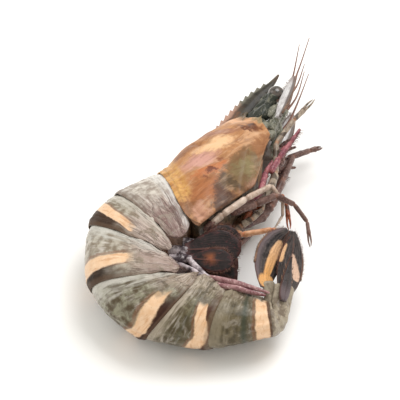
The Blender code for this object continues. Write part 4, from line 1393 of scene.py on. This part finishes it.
def limb_finish(name, ground, second, third, joint_tone, bands=0, band_tone=None):
    """Limb skin with pale streaks, tinted joints and optional dark bands."""
    f = Finish(name, ground, **WET)
    wide, fine = f.grain(2.6, 3), f.grain(0.6)
    f.coat((f.step(wide, 0.38, 0.62), second), (0.75 * f.step(fine, 0.52, 0.7), third))
    if bands:
        wave = f.sine(8 * f.read("stretch") + 8 * (wide - 0.5))
        f.coat((bands * f.step(wave, 0.15, 0.75), band_tone))
    f.coat((0.7 * f.read("joint"), joint_tone))
    return f.close(0.7 * fine + 0.4 * wide, 0.1, fine)


def blade_start(name, ground, size=2.4):
    """A blade's finish, its places along and across, and its coarse and fine grain."""
    f = Finish(name, ground, **WET)
    return f, f.read("along"), f.read("across"), f.grain(size), f.grain(0.5)


def paddle_finish():
    """Near-black paddle with a red-brown margin, fine rays and an orange fleck."""
    f, along, across, wide, fine = blade_start("dark_paddle_finish", (24, 21, 22))
    drift = wide - 0.5
    margin = f.step(abs(across) + 0.9 * drift, 0.78, 1.05) + f.step(along + 0.3 * drift, 0.88, 1)
    spot = f.ridge(along + 0.3 * drift, 0.48, 0.22) * f.ridge(across + 0.6 * drift, 0.1, 0.8)
    rays = f.sine(46 * across + 5 * along + 6 * wide)
    f.coat(
        (f.step(wide, 0.35, 0.62), (46, 37, 38)),
        (0.45 * f.step(margin, 0, 1), (96, 44, 38)),
        (0.5 * f.ridge(across, 0, 0.1) * f.step(along, 0.9, 0.5), (150, 96, 88)),
        (0.8 * f.read("fleck") * spot, (168, 98, 62)),
        (0.4 * f.step(f.grain(1.1, 2, 0.5, 1.6), 0.6, 0.66), (112, 58, 62)),
        (0.7 * f.step(along, 0.14, 0.02), (130, 96, 96)),
        (0.1 * f.step(rays, 0.2, 0.9), (128, 108, 102)),
        (0.35 * f.step(fine, 0.58, 0.74), (84, 72, 70)))
    return f.close(0.12 * rays + 0.5 * fine + 0.6 * wide, 0.12, wide, 0.26)


def fan_finish():
    """Dark tail blade with a pale stripe, a bright root and a lavender outer edge."""
    f, along, across, wide, fine = blade_start("dark_fan_finish", (34, 32, 34), 2.6)
    tone = f.mix(f.step(along, 0.15, 0.75), (240, 176, 104), (248, 198, 150))
    tone = f.mix(f.read("pink"), tone, (238, 200, 174))
    tone = f.mix(0.5 * f.step(fine, 0.52, 0.7), tone, (196, 132, 88))
    stripe = f.read("stripe") + 0.5 * (wide - 0.5) + 0.4 * (fine - 0.5)
    rays = f.sine(26 * across + 14 * wide)
    f.coat(
        (f.step(wide, 0.35, 0.62), (74, 66, 64)),
        (0.7 * f.read("edge"), (126, 110, 114)),
        (0.5 * f.ridge(across, 0, 0.07), (128, 104, 98)),
        (0.95 * f.step(stripe, 0.3, 0.62), tone),
        (f.step(f.read("blob") + 0.3 * (wide - 0.5), 0.35, 0.6), (246, 184, 116)),
        (0.22 * f.step(rays, 0.3, 0.9) * f.step(fine, 0.35, 0.6), (140, 124, 118)),
        (0.6 * f.step(abs(across) + 0.2 * (fine - 0.5), 0.86, 0.99), (98, 60, 54)),
        (0.4 * f.step(fine, 0.56, 0.72), (126, 112, 106)))
    return f.close(0.5 * rays + 0.5 * fine + 0.5 * wide, 0.12, wide, 0.26)


def scale_finish():
    """Milky blade with a brown outer edge and faint rays."""
    f, along, across, wide, fine = blade_start("pale_blade_finish", (206, 200, 200), 2.2)
    drift = wide - 0.5
    outer = f.step(across + 0.2 * drift, 0.3, 0.6) + f.step(across - 0.2 * drift, -0.7, -0.95)
    rays = f.sine(34 * across + 5 * wide)
    f.coat(
        (f.step(wide, 0.35, 0.62), (244, 242, 242)),
        (0.85 * f.step(outer, 0, 1), (92, 76, 68)),
        (0.34 * f.step(rays, 0.35, 0.9), (112, 98, 98)),
        (0.6 * f.step(along + 0.3 * drift, 0.75, 0.98), (142, 112, 100)),
        (0.26 * f.step(fine, 0.56, 0.72), (146, 120, 112)))
    return f.close(0.5 * rays + 0.6 * fine, 0.1, wide)


def eye_finish():
    """Dark glossy eye with fine facets and a browner foot."""
    f = Finish("eye_finish", (34, 29, 25), Coat_Weight=0.8, Coat_Roughness=0.05)
    wide, facets = f.grain(1.2, 3, 0.5), f.cells(0.16)
    f.coat(
        (f.step(wide, 0.35, 0.65), (84, 70, 60)),
        (0.8 * f.step(f.read("along") + 0.2 * (wide - 0.5), 0.3, 0.16), (130, 112, 94)),
        (0.3 * f.step(facets, 0.35, 0.15), (92, 88, 84)))
    return f.close(facets, 0.03, wide, 0.16, 0.14, 0.6)


def rostrum_finish():
    """Dark toothed blade with a painted highlight along its crest and a flesh-coloured root."""
    f = Finish("rostrum_finish", (36, 32, 25), **WET)
    rise, along = f.read("rise"), f.read("along")
    wide, fine = f.grain(2.2), f.grain(0.5)
    drift = wide - 0.5
    flesh = f.mix(f.step(rise + 0.8 * drift, 0.2, 0.9), (140, 98, 72), (198, 154, 134))
    flesh = f.mix(0.7 * f.ridge(rise + 0.6 * drift, 0.35, 0.22), flesh, (92, 72, 64))
    f.coat(
        (f.step(wide, 0.36, 0.62), (66, 60, 50)),
        # Painted highlight: paler along the blade's upper edge.
        (0.7 * f.step(rise + 0.5 * drift, 0.35, 0.85), (136, 132, 118)),
        (0.85 * f.step(along + 0.3 * drift - 0.06 * rise, 0.54, 0.34), flesh),
        (0.5 * f.step(along, 0.85, 1), (120, 96, 80)),
        (0.4 * f.step(fine, 0.55, 0.72), (52, 46, 36)))
    return f.close(0.6 * fine + 0.5 * wide, 0.12, wide)


def face_finish():
    """Face skin: dark green towards the eyes, beige below."""
    f = Finish("face_finish", (96, 74, 62), **WET)
    wide, fine, dots = f.grain(2.4, twist=0.3), f.grain(0.6), f.cells(0.7)
    f.coat(
        (f.step(f.read("rise") + 5 * (wide - 0.5), 3.5, 8), (50, 54, 46)),
        (0.7 * f.step(wide, 0.52, 0.66), (132, 130, 114)),
        (0.4 * f.step(fine, 0.56, 0.72), (176, 166, 150)),
        (0.5 * f.step(dots, 0.22, 0.08), (48, 50, 42)))
    return f.close(0.6 * fine + 0.6 * wide + 0.2 * dots, 0.16, wide)


# ---- the prawn

# Three tones, then the share and tone of the spots and the size of the lumps.
SKINS = {
    "thorn": ((96, 74, 60), (138, 104, 84), (170, 136, 112)),
    "hair": ((112, 76, 66), (136, 98, 84), (160, 124, 108)),
    "belly": ((64, 54, 42), (112, 94, 74), (164, 140, 116), 0.6, (44, 34, 28), 2.6),
    "jaw": ((78, 52, 50), (124, 90, 82), (176, 146, 132), 0.5, (50, 34, 34), 1.8),
    "brow": ((88, 88, 74), (136, 134, 118), (196, 192, 180), 0.6, (46, 48, 40), 2),
    "stem": ((70, 58, 64), (218, 204, 208), (244, 236, 238), 0.5, (40, 34, 38), 4.2),
    "stick": ((128, 80, 86), (176, 134, 134), (236, 208, 204), 0, None, 2.6),
    "fan_root": ((126, 112, 96), (168, 156, 136), (194, 178, 156), 0.5, (78, 64, 52), 3),
}
# Three tones and the joints' tone, then the share and tone of the bands.
LIMB_SKINS = {
    "banded": ((138, 122, 108), (172, 156, 138), (198, 180, 156), (188, 132, 96), 0.85, (74, 60, 50)),
    "maroon": ((122, 62, 74), (172, 104, 110), (214, 164, 164), (170, 104, 98)),
    "mauve": ((92, 66, 60), (126, 98, 90), (168, 140, 130), (150, 104, 84)),
    "beige": ((190, 164, 146), (226, 204, 188), (246, 232, 220), (128, 98, 80), 0.25, (104, 84, 66)),
    "umber": ((124, 62, 40), (176, 98, 66), (214, 144, 108), (170, 92, 60), 0.75, (52, 40, 34)),
    "orange": ((196, 134, 92), (222, 168, 130), (238, 196, 164), (196, 100, 58)),
}
LEG_SKINS = {"right": ("banded", "maroon", "mauve", "beige", "orange"),
             "left": ("mauve", "mauve", "umber", "banded", "mauve")}


def build_prawn():
    skins = {name: mottled_finish(name + "_finish", *row) for name, row in SKINS.items()}
    skins |= {name: limb_finish(name + "_limb_finish", *row) for name, row in LIMB_SKINS.items()}
    hair, brow, stick = skins["hair"], skins["brow"], skins["stick"]
    scale, eye, face = scale_finish(), eye_finish(), face_finish()
    paddle, fan = paddle_finish(), fan_finish()
    for number, look in enumerate(RING_LOOKS, start=1):
        make_tail_shell(number, tail_ring_finish(number, look))
    make_carapace(head_shell_finish(), rostrum_finish())
    make_belly(skins["belly"], skins["jaw"])
    make_face(face, skins["jaw"], brow)
    for word, side, legs, swimmerets in (("right", 1, RIGHT_LEGS, RIGHT_SWIMMERETS),
                                         ("left", -1, LEFT_LEGS, LEFT_SWIMMERETS)):
        make_eye(word, side, eye, face)
        make_antennal_blade(word, side, scale, skins["thorn"], hair)
        make_antennule(word, side, brow, hair)
        make_antenna(word, side, brow, hair)
        make_maxilliped(word, side, skins["maroon" if side > 0 else "mauve"], hair)
        for number, (points, skin) in enumerate(zip(legs, LEG_SKINS[word]), start=1):
            make_leg(number, word, side, points, skins[skin], hair)
        for number, row in enumerate(swimmerets, start=1):
            make_swimmeret(number, word, row, skins["stem"] if number < 5 else stick,
                           paddle if number < 4 else stick, hair)
    for blade in FAN_BLADES:
        make_fan_blade(blade, fan, skins["fan_root"], skins["thorn"], hair)


# ---- table, light and camera

AIM = np.array((-2, 0, 12))
CAMERA_ELEVATION = math.radians(45)
CAMERA_DISTANCE = 2100
LENS = 600
TABLE_REACH = 3               # metres
DAYLIGHT = (1, 0.98, 0.92, 1)


def make_table():
    """White table under the prawn."""
    f = Finish("white_table_finish", Specular_IOR_Level=0.2)
    f.paint = f.mix(f.grain(40, 3, 0.5), colour(248, 247, 246, 1), colour(252, 251, 250, 1))
    f.close(f.grain(1.5, 3, 0.5), 0.02, None, 0.6, strength=0.3)
    mesh = bpy.data.meshes.new("table")
    corners = [(x * TABLE_REACH, y * TABLE_REACH, 0) for x, y in ((-1, -1), (1, -1), (1, 1), (-1, 1))]
    mesh.from_pydata(corners, [], [(0, 1, 2, 3)])
    mesh.materials.append(f.material)
    show("table", mesh)


def make_light(name, place, size, watts, tone):
    """Square lamp that faces the prawn."""
    data = bpy.data.lights.new(name, "AREA")
    data.shape = "SQUARE"
    data.size = size
    data.energy = watts
    data.color = tone
    lamp = show(name, data)
    lamp.location = place
    lamp.rotation_euler = (Vector(place) * -1).to_track_quat("-Z", "Y").to_euler()


def light_scene():
    world = bpy.data.worlds.new("daylight")
    world.use_nodes = True
    sky = world.node_tree.nodes["Background"].inputs
    sky["Color"].default_value = DAYLIGHT
    sky["Strength"].default_value = 0.86
    bpy.context.scene.world = world
    make_light("window_light", (0.26, 0.26, 0.72), 0.52, 4.1, (0.98, 0.985, 1))
    make_light("left_light", (-0.55, 0.05, 0.4), 0.4, 0.6, (0.96, 0.98, 1))


def set_camera():
    """Camera that looks down on the prawn from the front."""
    data = bpy.data.cameras.new("main_camera")
    data.lens = LENS
    camera = show("main_camera", data)
    back = np.array((0, -math.cos(CAMERA_ELEVATION), math.sin(CAMERA_ELEVATION)))
    camera.location = (AIM + back * CAMERA_DISTANCE) * MM
    camera.rotation_euler = (0.5 * math.pi - CAMERA_ELEVATION, 0, 0)
    bpy.context.scene.camera = camera
    bpy.context.scene.view_settings.view_transform = "Standard"


build_prawn()
make_table()
light_scene()
set_camera()
